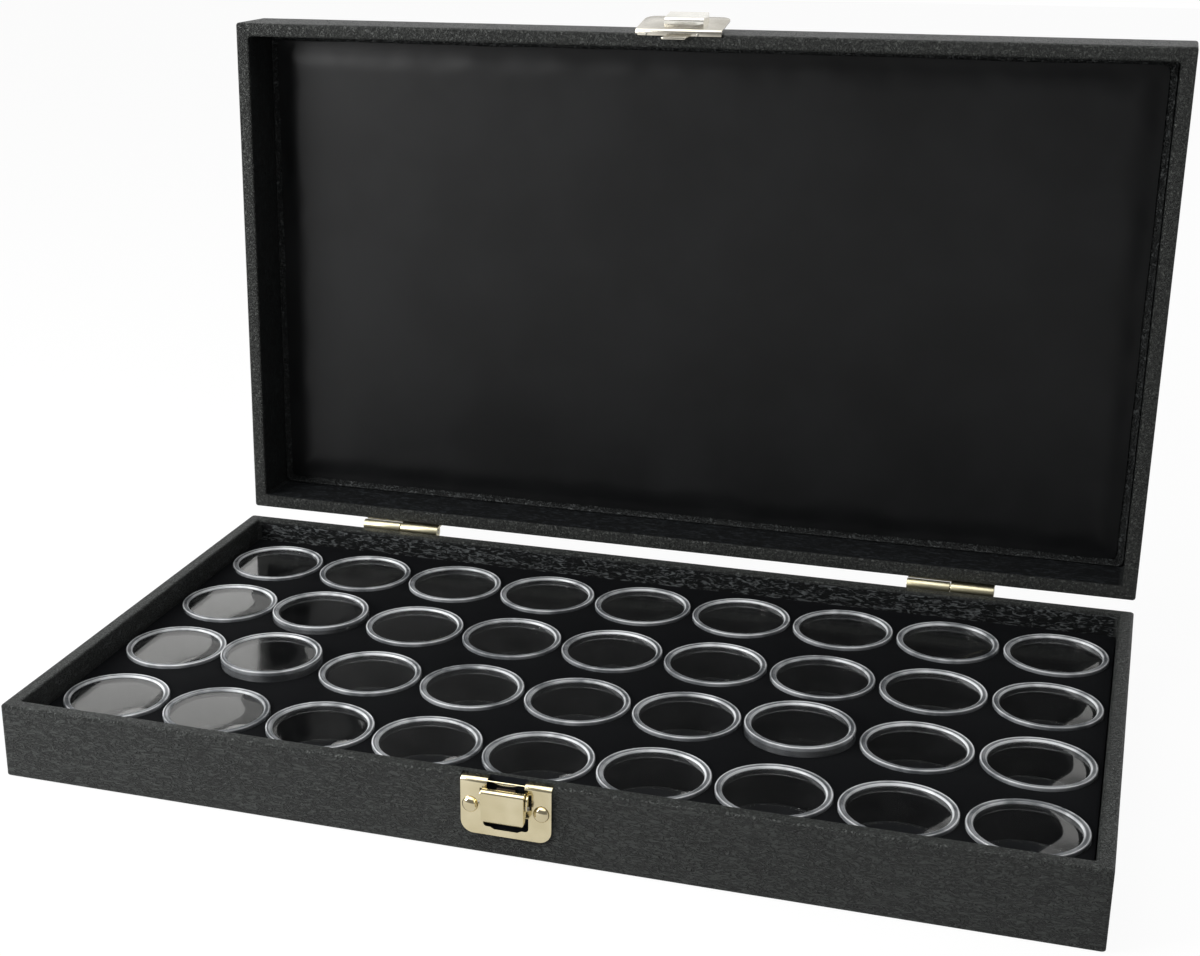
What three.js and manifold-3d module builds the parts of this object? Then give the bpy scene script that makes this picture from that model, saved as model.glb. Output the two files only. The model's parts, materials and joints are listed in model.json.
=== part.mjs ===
// A hinged travel case that shows thirty-six round gem jars in a black foam insert.
// Millimetres, +Z up. The origin is the middle of the base's underside, +X runs to the right
// along the front, and the lid hinges at the back (+Y).

import * as THREE from 'three';
import { mergeVertices } from 'three/addons/utils/BufferGeometryUtils.js';
import Module from 'manifold-3d';

const wasm = await Module();
wasm.setup();

// Gem jar: a clear cup and a pressed-on lid whose skirt stands out round it
const jarLidDiameter = 38.6;
const jarSkirtStep = 1.2;
const jarHeight = 15.3;
const jarCupWall = 1.3;
const jarCupFloor = 1.2;
const jarLidSkirtHeight = 4.1;
const jarLidTopThickness = 1.65;
const jarLidEdgeRounding = 0.6;
const jarRingWidth = 2.3;
const jarRingRise = 0.75;
const jarVentWidth = 3;
const jarVentHeight = 1;
const jarSides = 16;
const proudJars = { r2_c2: 1.6, r3_c2: 2.6, r3_c7: 2.2 };

// Foam insert on its backing card, with rows of through holes that hold the jars
const jarRows = 4;
const jarColumns = 9;
const columnGap = 1.6;
const rowGap = 8.9;
const endBorder = 0.525;
const sideBorder = 3.875;
const jarGridSetback = 1.5;
const jarHoleClearance = 0.25;
const insertClearance = 0.5;
const insertCornerRadius = 1.6;
const cardThickness = 1.5;
const jarStandOut = 1.2;
const rimHeadroom = 9;

// Case: two shallow trays of wrapped board that meet at their rims, built round the insert
const lidHeight = 26.4;
const partingGap = 0.6;
const wall = 5.4;
const outerCornerRadius = 2.6;
const innerCornerRadius = 2.4;
const rimRounding = 0.9;
const rimRoundingSteps = 1;
const boardPanel = 3;
const panelRebate = 2.2;
const lidOpenAngle = THREE.MathUtils.degToRad(91.1);

// Lining of the lid: a thin padded board with a rolled edge
const liningThickness = 2.4;
const liningRoll = 1.4;
const liningCornerRadius = 4;
const liningRollSteps = 2;

// Barrel hinges: two leaves with half a barrel each, on a steel pin
const hingeLength = 34;
const hingeInset = 70.125;
const hingeSetback = 2.8;
const barrelRadius = 2;
const hingePinRadius = 0.9;
const hingePinClearance = 0.2;
const hingeLeafHeight = 12;
const hingeLeafThickness = 0.8;
const hingeLeafCornerRadius = 1.5;
const knuckleGap = 0.3;
const leafBarrelClearance = 0.6;
const barrelSides = 20;

// Catch: pressed plates of thin sheet, one on the base and one on the lid
const sheet = 0.7;
const plateWidth = 30.9;
const plateHeight = 20.2;
const plateCornerRadius = 4.4;
const flangeReach = 2.3;
const flangeTop = -0.4;
const flangeBendRadius = 1.2;
const mouthSideClearance = 1.5;
const hookWindowBottom = -4.7;
const lipEdge = -1.5;
const lipMiddle = -1.9;
const lipBulgeHalfWidth = 4.4;
const lipSteps = 6;
const windowHalfWidth = 7.7;
const windowTop = -9.2;
const windowBottom = -17.1;
const windowDip = 0.7;
const windowDipHalfWidth = 3.9;
const earHeight = 5.5;
const earTop = -3.5;
const earReach = 3.6;
const earRounding = 1.4;
const earSlitWidth = 0.7;

// Lever and grip: a U-shaped pressing with a rolled edge towards the parting line
const gripHalfWidth = 7.2;
const gripTop = -2.5;
const gripBottom = -14.2;
const gripReach = 4.7;
const gripStandOff = 1.3;
const gripRollRadius = 1.2;
const gripRollDepth = 1.3;
const gripNoseRadius = 2;
const gripCornerRadius = 1.8;
const gripHeelRise = 1.1;
const leverPivotHeight = -7.5;
const leverPivotReach = 2.4;
const leverPinRadius = 0.8;
const leverPinHoleClearance = 0.2;
const leverPinOverhang = 0.5;
const leverSideClearance = 0.2;
const crossBarHeight = 0.7;
const crossBarTop = -4;
const crossBarDepth = 0.8;
const hookSideClearance = 0.6;
const hookTip = 2.55;
const hookUnderside = -4.3;
const hookTipHeight = 0.5;
const hookRootHeight = 1.4;
const gripProngTop = -5.1;
const gripProngBottom = -9.9;
const gripProngDepth = 2.4;

// Lid plate: its face stands off the wall towards its far edge. Its tongue drops behind the
// catch's lip and is held by the hook.
const keeperLift = THREE.MathUtils.degToRad(9);
const tongueHalfWidth = 4.9;
const tongueLength = 7.8;
const tongueCornerRadius = 1;
const tongueSlotHalfWidth = 3.8;
const tongueSlotTop = 2.8;
const tongueSlotBottom = 5.2;

// Pocket in the front wall behind the catch, and the leaf spring in front of it
const pocketHalfWidth = 7.9;
const pocketDepth = 3.4;
const pocketBottom = -18.3;
const pocketMouthDepth = 2.8;
const pocketMouthBottom = -2.2;
const springThickness = 0.35;
const springWidth = 6;
const springTop = -5.3;
const springFoot = -11.3;
const springPinGap = 0.25;
const springSteps = 8;

// Domed rivets of the catch plate
const rivetHeadRadius = 2.75;
const rivetHeadHeight = 1.4;
const rivetShankRadius = 1.1;
const rivetShankLength = 5.2;
const rivetHoleClearance = 0.2;
const rivetSpacing = 24.2;
const rivetHeight = -10.3;
const rivetSides = 16;
const rivetDomeSteps = 4;

// Fits: what rests on a turned piece or is cut by it keeps this gap
const seatGap = 0.3;
const cutOverrun = 1;

// Angles of the hinge web round the barrel, and how finely arcs are cut
const webLowAngle = THREE.MathUtils.degToRad(-118);
const webHighAngle = THREE.MathUtils.degToRad(-162);
const cornerSegments = 2;
const smallHoleSides = 12;

// The case that the jars, the insert and the walls make: 374.65 by 209.55, its base 27.6 high
const foamThickness = jarHeight - jarStandOut;
const baseHeight = boardPanel + cardThickness + foamThickness + rimHeadroom;
const columnPitch = jarLidDiameter + columnGap;
const rowPitch = jarLidDiameter + rowGap;
const insertHalfLength = jarColumns * columnPitch / 2 + endBorder;
const insertHalfDepth = jarRows * rowPitch / 2 + sideBorder;
const caseLength = 2 * (insertHalfLength + insertClearance + wall);
const caseDepth = 2 * (insertHalfDepth + insertClearance + wall);

const finish = {
  leatherette: new THREE.MeshStandardMaterial({ color: 0x303230, roughness: 0.62, metalness: 0 }),
  lining: new THREE.MeshStandardMaterial({ color: 0x1b1c1d, roughness: 0.55, metalness: 0 }),
  foam: new THREE.MeshStandardMaterial({ color: 0x0b0c0e, roughness: 0.95, metalness: 0 }),
  card: new THREE.MeshStandardMaterial({ color: 0x17181a, roughness: 0.9, metalness: 0 }),
  nickel: new THREE.MeshStandardMaterial({ color: 0xcdc3a5, roughness: 0.28, metalness: 1 }),
  steel: new THREE.MeshStandardMaterial({ color: 0x9a9890, roughness: 0.35, metalness: 1 }),
  clearPlastic: new THREE.MeshStandardMaterial({ color: 0xc8ced2, roughness: 0.08, metalness: 0 }),
};

// A closed geometry as a solid that can be joined and cut
function solid(geometry) {
  const bare = geometry.clone();
  bare.deleteAttribute('normal');
  bare.deleteAttribute('uv');
  const merged = mergeVertices(bare);
  const index = merged.index.array;
  const corners = [];
  for (let i = 0; i < index.length; i += 3) {
    const [a, b, c] = [index[i], index[i + 1], index[i + 2]];
    if (a !== b && b !== c && c !== a) corners.push(a, b, c);
  }
  return new wasm.Manifold(new wasm.Mesh({
    numProp: 3,
    vertProperties: new Float32Array(merged.attributes.position.array),
    triVerts: new Uint32Array(corners),
  }));
}

function geometryOf(manifold) {
  const made = manifold.getMesh();
  const geometry = new THREE.BufferGeometry();
  geometry.setAttribute('position', new THREE.BufferAttribute(made.vertProperties, made.numProp));
  geometry.setIndex(new THREE.BufferAttribute(made.triVerts, 1));
  return geometry;
}

function namedMesh(name, shape, material) {
  const geometry = shape.isBufferGeometry ? shape : geometryOf(shape);
  const mesh = new THREE.Mesh(geometry, material.clone());
  mesh.name = name;
  return mesh;
}

// A box between two corners
function boxBetween(low, high) {
  const size = high.map((value, axis) => value - low[axis]);
  const middle = high.map((value, axis) => (value + low[axis]) / 2);
  return solid(new THREE.BoxGeometry(...size).translate(...middle));
}

function polygon(points) {
  return new THREE.Shape(points.map(([x, y]) => new THREE.Vector2(x, y)));
}

// A rectangle from low to high, centred across, with one radius for each pair of corners
function roundedRectangle(halfWidth, low, high, lowRadius, highRadius, target = new THREE.Shape()) {
  target.moveTo(-halfWidth + lowRadius, low);
  target.lineTo(halfWidth - lowRadius, low);
  if (lowRadius) target.absarc(halfWidth - lowRadius, low + lowRadius, lowRadius, -Math.PI / 2, 0);
  target.lineTo(halfWidth, high - highRadius);
  if (highRadius) target.absarc(halfWidth - highRadius, high - highRadius, highRadius, 0, Math.PI / 2);
  target.lineTo(-halfWidth + highRadius, high);
  if (highRadius) {
    target.absarc(-halfWidth + highRadius, high - highRadius, highRadius, Math.PI / 2, Math.PI);
  }
  target.lineTo(-halfWidth, low + lowRadius);
  if (lowRadius) {
    target.absarc(-halfWidth + lowRadius, low + lowRadius, lowRadius, Math.PI, Math.PI * 3 / 2);
  }
  return target;
}

function extrude(shape, depth, options = {}) {
  return new THREE.ExtrudeGeometry(shape, {
    depth, bevelEnabled: false, curveSegments: cornerSegments, ...options,
  });
}

// An outline drawn in x and z, given a thickness from its front (low y) to its back (high y)
function uprightSheet(shape, front, back) {
  return solid(extrude(shape, back - front).rotateX(Math.PI / 2).translate(0, back, 0));
}

// An outline drawn in y and z, given a width along x from left to right
function alongX(shape, left, right) {
  const geometry = extrude(shape, right - left);
  geometry.rotateX(Math.PI / 2).rotateZ(Math.PI / 2);
  return solid(geometry.translate(left, 0, 0));
}

// A round bar along x
function barAlongX(radius, left, right, y, z, sides) {
  const bar = new THREE.CylinderGeometry(radius, radius, right - left, sides).rotateZ(Math.PI / 2);
  return solid(bar.translate((left + right) / 2, y, z));
}

// Walls of one tray, from the rim at z = 0 down to -height, with a rebate for the panel.
// The front wall is notched for the catch plate's flange.
function wallFrame(height) {
  const halfLength = caseLength / 2;
  const halfDepth = caseDepth / 2;
  const outline = roundedRectangle(halfLength, -halfDepth, halfDepth, outerCornerRadius, outerCornerRadius);
  const inside = roundedRectangle(halfLength - wall, -halfDepth + wall, halfDepth - wall,
    innerCornerRadius, innerCornerRadius, new THREE.Path());
  outline.holes.push(inside);
  const walls = solid(extrude(outline, height - 2 * rimRounding, {
    bevelEnabled: true,
    bevelThickness: rimRounding,
    bevelSize: rimRounding,
    bevelOffset: -rimRounding,
    bevelSegments: rimRoundingSteps,
  }).translate(0, 0, rimRounding - height));
  const rebateLength = halfLength - wall + panelRebate;
  const rebateDepth = halfDepth - wall + panelRebate;
  const rebateTop = -height + boardPanel + seatGap;
  const rebate = boxBetween([-rebateLength, -rebateDepth, -height - cutOverrun],
    [rebateLength, rebateDepth, rebateTop]);
  const notchSide = plateWidth / 2 + seatGap;
  const flangeNotch = boxBetween([-notchSide, -halfDepth - cutOverrun, flangeTop - sheet - seatGap],
    [notchSide, -halfDepth + flangeReach + seatGap, cutOverrun]);
  return walls.subtract(rebate).subtract(flangeNotch);
}

// Board that closes a tray, seated in the walls' rebate
function trayPanel(height) {
  const halfLength = caseLength / 2 - wall + panelRebate - seatGap;
  const halfDepth = caseDepth / 2 - wall + panelRebate - seatGap;
  const outline = roundedRectangle(halfLength, -halfDepth, halfDepth, 0, 0);
  return extrude(outline, boardPanel).translate(0, 0, -height);
}

// Everything of the catch is drawn with the rim at z = 0 and the wall's front face at y = 0
const plateBack = -seatGap;
const plateFront = plateBack - sheet;
const leverPinRest = plateBack - leverPivotReach;
const cheekInside = gripHalfWidth - sheet;
const mouthHalfWidth = tongueHalfWidth + mouthSideClearance;
const earInside = gripHalfWidth + leverSideClearance;
const bendY = plateFront + flangeBendRadius;
const bendZ = flangeTop - flangeBendRadius;

// Turned about the plate's bend, so that what lies below it moves off the wall
function lifted(shape, lift) {
  return shape.translate([0, -bendY, -bendZ]).rotate([-THREE.MathUtils.radToDeg(lift), 0, 0])
    .translate([0, bendY, bendZ]);
}

// A plate whose top edge is bent back over the rim and whose face leans out by the lift
function bentPlate(lift) {
  const turn = Math.PI - lift;
  const run = plateHeight + bendZ;
  const onFace = (radius, distance) => [
    bendY + radius * Math.cos(turn) - distance * Math.sin(lift),
    bendZ + radius * Math.sin(turn) - distance * Math.cos(lift)];
  const bendInside = flangeBendRadius - sheet;
  const section = new THREE.Shape();
  section.moveTo(flangeReach, flangeTop);
  section.lineTo(bendY, flangeTop);
  section.absarc(bendY, bendZ, flangeBendRadius, Math.PI / 2, turn);
  section.lineTo(...onFace(flangeBendRadius, run));
  section.lineTo(...onFace(bendInside, run));
  section.lineTo(...onFace(bendInside, 0));
  section.absarc(bendY, bendZ, bendInside, turn, Math.PI / 2, true);
  section.lineTo(flangeReach, flangeTop - sheet);
  const outline = uprightSheet(
    roundedRectangle(plateWidth / 2, -plateHeight, cutOverrun, plateCornerRadius, 0),
    plateFront - cutOverrun, flangeReach + cutOverrun);
  return alongX(section, -plateWidth / 2, plateWidth / 2).intersect(lifted(outline, lift));
}

// Ear that carries one end of the lever's pin, bent out beside the slit it was cut from
function pinEar(side) {
  const bottom = earTop - earHeight;
  const outline = new THREE.Shape();
  outline.moveTo(plateBack, bottom);
  outline.lineTo(plateBack, earTop);
  outline.lineTo(-earReach + earRounding, earTop);
  outline.absarc(-earReach + earRounding, earTop - earRounding, earRounding, Math.PI / 2, Math.PI);
  outline.lineTo(-earReach, bottom + earRounding);
  outline.absarc(-earReach + earRounding, bottom + earRounding, earRounding, Math.PI, Math.PI * 3 / 2);
  const inner = side * earInside;
  const outer = side * (earInside + sheet);
  const pinHole = barAlongX(leverPinRadius + leverPinHoleClearance / 2,
    Math.min(inner, outer) - cutOverrun, Math.max(inner, outer) + cutOverrun,
    leverPinRest, leverPivotHeight, smallHoleSides);
  return alongX(outline, Math.min(inner, outer), Math.max(inner, outer)).subtract(pinHole);
}

// Base plate: slot for the tongue behind a bulged lip, window for the hook under the lip,
// window behind the lever's lower end, ears, rivet holes
function catchPlate() {
  const through = [plateFront - cutOverrun, plateBack + cutOverrun];
  const tongueSlot = boxBetween([-mouthHalfWidth, plateBack, hookWindowBottom],
    [mouthHalfWidth, flangeReach + cutOverrun, cutOverrun]);
  const lipCurve = new THREE.QuadraticBezierCurve(
    new THREE.Vector2(lipBulgeHalfWidth, lipEdge),
    new THREE.Vector2(0, 2 * lipMiddle - lipEdge),
    new THREE.Vector2(-lipBulgeHalfWidth, lipEdge));
  const hookWindow = uprightSheet(polygon([
    [-mouthHalfWidth, hookWindowBottom],
    [mouthHalfWidth, hookWindowBottom],
    [mouthHalfWidth, lipEdge],
    ...lipCurve.getPoints(lipSteps).map(({ x, y }) => [x, y]),
    [-mouthHalfWidth, lipEdge],
  ]), ...through);
  const window = uprightSheet(polygon([
    [-windowHalfWidth, windowTop],
    [-windowHalfWidth, windowBottom],
    [-windowDipHalfWidth - windowDip, windowBottom],
    [-windowDipHalfWidth, windowBottom - windowDip],
    [windowDipHalfWidth, windowBottom - windowDip],
    [windowDipHalfWidth + windowDip, windowBottom],
    [windowHalfWidth, windowBottom],
    [windowHalfWidth, windowTop],
  ]), ...through);
  let plate = bentPlate(0).subtract(tongueSlot).subtract(hookWindow).subtract(window);
  for (const side of [-1, 1]) {
    const slitEdges = [side * (earInside + sheet), side * (earInside + sheet + earSlitWidth)];
    const slit = boxBetween([Math.min(...slitEdges), through[0], earTop - earHeight],
      [Math.max(...slitEdges), through[1], earTop]);
    plate = plate.subtract(slit).subtract(rivetBore(side)).add(pinEar(side));
  }
  return plate;
}

// The lever and the lid's grip share this pressing: face, two cheeks, rolled edge and nose
function gripShell() {
  const back = plateBack - gripStandOff;
  const front = plateBack - gripReach;
  const outside = new THREE.Shape();
  outside.moveTo(back, gripBottom + gripHeelRise);
  outside.lineTo(back, gripTop - gripRollDepth);
  outside.lineTo(front + gripRollRadius + gripRollDepth, gripTop);
  outside.lineTo(front + gripRollRadius, gripTop);
  outside.absarc(front + gripRollRadius, gripTop - gripRollRadius, gripRollRadius, Math.PI / 2, Math.PI);
  outside.lineTo(front, gripBottom + gripNoseRadius);
  outside.absarc(front + gripNoseRadius, gripBottom + gripNoseRadius, gripNoseRadius,
    Math.PI, Math.PI * 3 / 2);
  const inside = new THREE.Shape();
  const innerFront = front + sheet;
  const rollInside = gripRollRadius - sheet;
  const noseInside = gripNoseRadius - sheet;
  inside.moveTo(back + cutOverrun, gripBottom + gripHeelRise + sheet);
  inside.lineTo(back + cutOverrun, gripTop + cutOverrun);
  inside.lineTo(front + gripRollRadius + gripRollDepth, gripTop + cutOverrun);
  inside.lineTo(front + gripRollRadius + gripRollDepth, gripTop - sheet);
  inside.lineTo(innerFront + rollInside, gripTop - sheet);
  inside.absarc(innerFront + rollInside, gripTop - gripRollRadius, rollInside, Math.PI / 2, Math.PI);
  inside.lineTo(innerFront, gripBottom + gripNoseRadius);
  inside.absarc(innerFront + noseInside, gripBottom + gripNoseRadius, noseInside,
    Math.PI, Math.PI * 3 / 2);
  const block = alongX(outside, -gripHalfWidth, gripHalfWidth);
  const hollow = alongX(inside, -cheekInside, cheekInside);
  const roundedFace = uprightSheet(
    roundedRectangle(gripHalfWidth, gripBottom, gripTop, gripCornerRadius, 0),
    front - cutOverrun, back + cutOverrun);
  return block.intersect(roundedFace).subtract(hollow);
}

// Lever: the shell with its pin holes, a cross bar between the cheeks and the sprung hook
function catchLever() {
  const back = plateBack - gripStandOff;
  const hookHalfWidth = tongueSlotHalfWidth - hookSideClearance;
  const crossBar = boxBetween(
    [-cheekInside - sheet / 2, back - crossBarDepth, crossBarTop - crossBarHeight],
    [cheekInside + sheet / 2, back, crossBarTop]);
  const hook = alongX(polygon([
    [back - crossBarDepth / 2, hookUnderside],
    [hookTip, hookUnderside],
    [hookTip, hookUnderside + hookTipHeight],
    [plateBack, hookUnderside + hookRootHeight],
    [back - crossBarDepth / 2, crossBarTop],
  ]), -hookHalfWidth, hookHalfWidth);
  const pinHole = barAlongX(leverPinRadius + leverPinHoleClearance,
    -gripHalfWidth - cutOverrun, gripHalfWidth + cutOverrun,
    leverPinRest, leverPivotHeight, smallHoleSides);
  return gripShell().add(crossBar).add(hook).subtract(pinHole);
}

function leverPin() {
  const halfLength = earInside + sheet + leverPinOverhang;
  return barAlongX(leverPinRadius, -halfLength, halfLength, leverPinRest, leverPivotHeight,
    smallHoleSides);
}

// Leaf spring: flat on the plate's bridge, past the pin, then out towards the lever's face
function leverSpring() {
  const seat = plateFront - seatGap;
  const passing = leverPinRest + leverPinRadius + springPinGap + springThickness;
  const reach = plateBack - gripReach + sheet + seatGap;
  const middle = new THREE.CatmullRomCurve3([
    new THREE.Vector3(0, seat - springThickness / 2, springTop),
    new THREE.Vector3(0, passing - springThickness / 2, leverPivotHeight),
    new THREE.Vector3(0, (passing + reach) / 2, (leverPivotHeight + springFoot) / 2),
    new THREE.Vector3(0, reach + springThickness / 2, springFoot),
  ]);
  const spots = middle.getSpacedPoints(springSteps);
  const near = [];
  const far = [];
  spots.forEach((spot, step) => {
    const along = middle.getTangentAt(step / springSteps);
    near.push([spot.y - along.z * springThickness / 2, spot.z + along.y * springThickness / 2]);
    far.unshift([spot.y + along.z * springThickness / 2, spot.z - along.y * springThickness / 2]);
  });
  return alongX(polygon([...near, ...far]), -springWidth / 2, springWidth / 2);
}

// Rivet along y: a domed head on the plate and a shank into the wall
function rivet(side) {
  const profile = [
    new THREE.Vector2(0, 0),
    new THREE.Vector2(rivetShankRadius, 0),
    new THREE.Vector2(rivetShankRadius, rivetShankLength),
    new THREE.Vector2(rivetHeadRadius, rivetShankLength),
  ];
  for (let step = 1; step < rivetDomeSteps; step += 1) {
    const turn = Math.PI / 2 * step / rivetDomeSteps;
    profile.push(new THREE.Vector2(rivetHeadRadius * Math.cos(turn),
      rivetShankLength + rivetHeadHeight * Math.sin(turn)));
  }
  profile.push(new THREE.Vector2(0, rivetShankLength + rivetHeadHeight));
  const lathed = new THREE.LatheGeometry(profile, rivetSides).rotateX(Math.PI);
  return solid(lathed.translate(side * rivetSpacing / 2, plateFront + rivetShankLength, rivetHeight));
}

function rivetBore(side) {
  const radius = rivetShankRadius + rivetHoleClearance;
  const end = plateFront + rivetShankLength + rivetHoleClearance;
  const bore = new THREE.CylinderGeometry(radius, radius, end - plateFront + cutOverrun, rivetSides);
  const middle = (end + plateFront - cutOverrun) / 2;
  return solid(bore.translate(side * rivetSpacing / 2, middle, rivetHeight));
}

// Prongs that hold the lid's grip, and the slots for them with a clearance all round
function gripProng(side, clearance) {
  const edges = [side * cheekInside, side * gripHalfWidth];
  return boxBetween(
    [Math.min(...edges) - clearance, plateBack - gripStandOff - gripRollDepth, gripProngBottom - clearance],
    [Math.max(...edges) + clearance, plateBack + gripProngDepth + clearance, gripProngTop + clearance]);
}

function lidGrip() {
  return lifted(gripShell().add(gripProng(-1, 0)).add(gripProng(1, 0)), keeperLift);
}

// Lid plate with the slotted tongue that drops into the catch
function keeperPlate() {
  const outline = roundedRectangle(tongueHalfWidth, flangeTop - sheet, tongueLength,
    0, tongueCornerRadius);
  outline.holes.push(roundedRectangle(tongueSlotHalfWidth, tongueSlotTop, tongueSlotBottom,
    0, 0, new THREE.Path()));
  const tongue = uprightSheet(outline, flangeReach - sheet, flangeReach);
  const prongSlots = gripProng(-1, seatGap).add(gripProng(1, seatGap));
  return bentPlate(keeperLift).add(tongue).subtract(lifted(prongSlots, keeperLift));
}

// Base walls: pocket behind the catch and bores for its rivets
function baseWalls() {
  const frontFace = -caseDepth / 2;
  const pocket = boxBetween([-pocketHalfWidth, frontFace - cutOverrun, pocketBottom],
    [pocketHalfWidth, frontFace + pocketDepth, pocketMouthBottom]);
  const pocketMouth = boxBetween([-mouthHalfWidth, frontFace - cutOverrun, pocketBottom],
    [mouthHalfWidth, frontFace + pocketMouthDepth, cutOverrun]);
  let walls = wallFrame(baseHeight).subtract(pocket).subtract(pocketMouth);
  for (const side of [-1, 1]) {
    walls = walls.subtract(rivetBore(side).translate([0, frontFace, 0]));
  }
  return walls;
}

// One of the base's four boards, mitred at its corners. A side is named by its outward direction.
function baseBoard(walls, sideX, sideY) {
  const [halfLength, halfDepth] = [caseLength / 2, caseDepth / 2];
  const inward = wall + innerCornerRadius;
  const [outX, outY] = [halfLength + cutOverrun, halfDepth + cutOverrun];
  const [inX, inY] = [halfLength - inward, halfDepth - inward];
  const wedge = sideX === 0
    ? [[-outX, sideY * outY], [outX, sideY * outY], [inX, sideY * inY], [-inX, sideY * inY]]
    : [[sideX * outX, -outY], [sideX * outX, outY], [sideX * inX, inY], [sideX * inX, -inY]];
  const keep = solid(extrude(polygon(wedge), baseHeight + 2 * cutOverrun)
    .translate(0, 0, -baseHeight - cutOverrun));
  return walls.intersect(keep);
}

function lidWalls() {
  let walls = wallFrame(lidHeight);
  for (const side of [-1, 1]) {
    walls = walls.subtract(lifted(gripProng(side, seatGap), keeperLift)
      .translate([0, -caseDepth / 2, 0]));
  }
  return walls;
}

// Padded lining board, its back flat against the lid's panel and its face rolled at the edges
function liningBoard() {
  const halfLength = caseLength / 2 - wall - seatGap;
  const halfDepth = caseDepth / 2 - wall - seatGap;
  const outline = roundedRectangle(halfLength, -halfDepth, halfDepth, liningCornerRadius,
    liningCornerRadius);
  const core = liningThickness - liningRoll;
  const cushion = solid(extrude(outline, 2 * core, {
    bevelEnabled: true,
    bevelThickness: liningRoll,
    bevelSize: liningRoll,
    bevelOffset: -liningRoll,
    bevelSegments: liningRollSteps,
  }).translate(0, 0, -core));
  const faceSide = boxBetween([-halfLength - cutOverrun, -halfDepth - cutOverrun, 0],
    [halfLength + cutOverrun, halfDepth + cutOverrun, liningThickness + cutOverrun]);
  return cushion.intersect(faceSide)
    .translate([0, 0, -lidHeight + boardPanel + seatGap]);
}

function jarPlace(row, column) {
  return {
    x: (column - (jarColumns + 1) / 2) * columnPitch,
    y: jarGridSetback - (row - (jarRows + 1) / 2) * rowPitch,
  };
}

function foamInsert() {
  const jarHoleRadius = jarLidDiameter / 2 + jarHoleClearance;
  const outline = roundedRectangle(insertHalfLength, -insertHalfDepth, insertHalfDepth,
    insertCornerRadius, insertCornerRadius);
  for (let row = 1; row <= jarRows; row += 1) {
    for (let column = 1; column <= jarColumns; column += 1) {
      const { x, y } = jarPlace(row, column);
      const hole = [];
      for (let side = 0; side < jarSides; side += 1) {
        const turn = 2 * Math.PI * side / jarSides;
        hole.push(new THREE.Vector2(
          x + jarHoleRadius * Math.cos(turn), y + jarHoleRadius * Math.sin(turn)));
      }
      outline.holes.push(new THREE.Path(hole));
    }
  }
  return extrude(outline, foamThickness);
}

function backingCard() {
  const outline = roundedRectangle(insertHalfLength, -insertHalfDepth, insertHalfDepth,
    insertCornerRadius, insertCornerRadius);
  return extrude(outline, cardThickness);
}

// Gem jar: cup and pressed-on lid together, hollow, with a raised ring round the lid's window
// and a thumb vent under the skirt
function gemJar() {
  const lidRadius = jarLidDiameter / 2;
  const cupRadius = lidRadius - jarSkirtStep;
  const skirtBottom = jarHeight - jarLidSkirtHeight;
  const outside = turned([
    [0, 0],
    [cupRadius, 0],
    [cupRadius, skirtBottom],
    [lidRadius, skirtBottom],
    [lidRadius, jarHeight - jarLidEdgeRounding],
    [lidRadius - jarLidEdgeRounding, jarHeight],
    [lidRadius - jarRingWidth, jarHeight],
    [lidRadius - jarRingWidth, jarHeight - jarRingRise],
    [0, jarHeight - jarRingRise],
  ]);
  const inside = turned([
    [0, jarCupFloor],
    [cupRadius - jarCupWall, jarCupFloor],
    [cupRadius - jarCupWall, jarHeight - jarLidTopThickness],
    [0, jarHeight - jarLidTopThickness],
  ]);
  const vent = boxBetween([-jarVentWidth / 2, -cupRadius - cutOverrun, skirtBottom - jarVentHeight],
    [jarVentWidth / 2, -cupRadius + jarCupWall + cutOverrun, skirtBottom]);
  return outside.subtract(inside).subtract(vent);
}

// A profile of radius and height turned about z
function turned(profile) {
  const points = profile.map(([radius, height]) => new THREE.Vector2(radius, height));
  return solid(new THREE.LatheGeometry(points, jarSides).rotateX(Math.PI / 2));
}

// One leaf with its half of the barrel, drawn for the base: y = 0 is the case's back face,
// z = 0 is the barrel's axis, and the barrel half lies at low x
function hingeLeaf() {
  const half = hingeLength / 2;
  const leafBack = seatGap + hingeLeafThickness;
  const leafTop = -barrelRadius - leafBarrelClearance;
  const leaf = uprightSheet(
    roundedRectangle(half, -hingeLeafHeight, leafTop, hingeLeafCornerRadius, 0), seatGap, leafBack);
  const onBarrel = (angle) => [
    hingeSetback + barrelRadius * Math.cos(angle), barrelRadius * Math.sin(angle)];
  const web = alongX(polygon([
    [seatGap, leafTop - hingeLeafThickness],
    [leafBack, leafTop - hingeLeafThickness],
    onBarrel(webLowAngle),
    onBarrel(webHighAngle),
    [seatGap, leafTop + hingeLeafThickness],
  ]), -half, -knuckleGap / 2);
  const barrel = barAlongX(barrelRadius, -half, -knuckleGap / 2, hingeSetback, 0, barrelSides);
  const bore = barAlongX(hingePinRadius + hingePinClearance, -half - cutOverrun, cutOverrun,
    hingeSetback, 0, barrelSides);
  return barrel.add(web).subtract(bore).add(leaf);
}

function hingePin() {
  return barAlongX(hingePinRadius, -hingeLength / 2, hingeLength / 2, hingeSetback, 0, barrelSides);
}

function group(...children) {
  const made = new THREE.Group();
  made.add(...children);
  return made;
}

const hingeY = caseDepth / 2 + hingeSetback;
const hingeZ = baseHeight + partingGap / 2;

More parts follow.
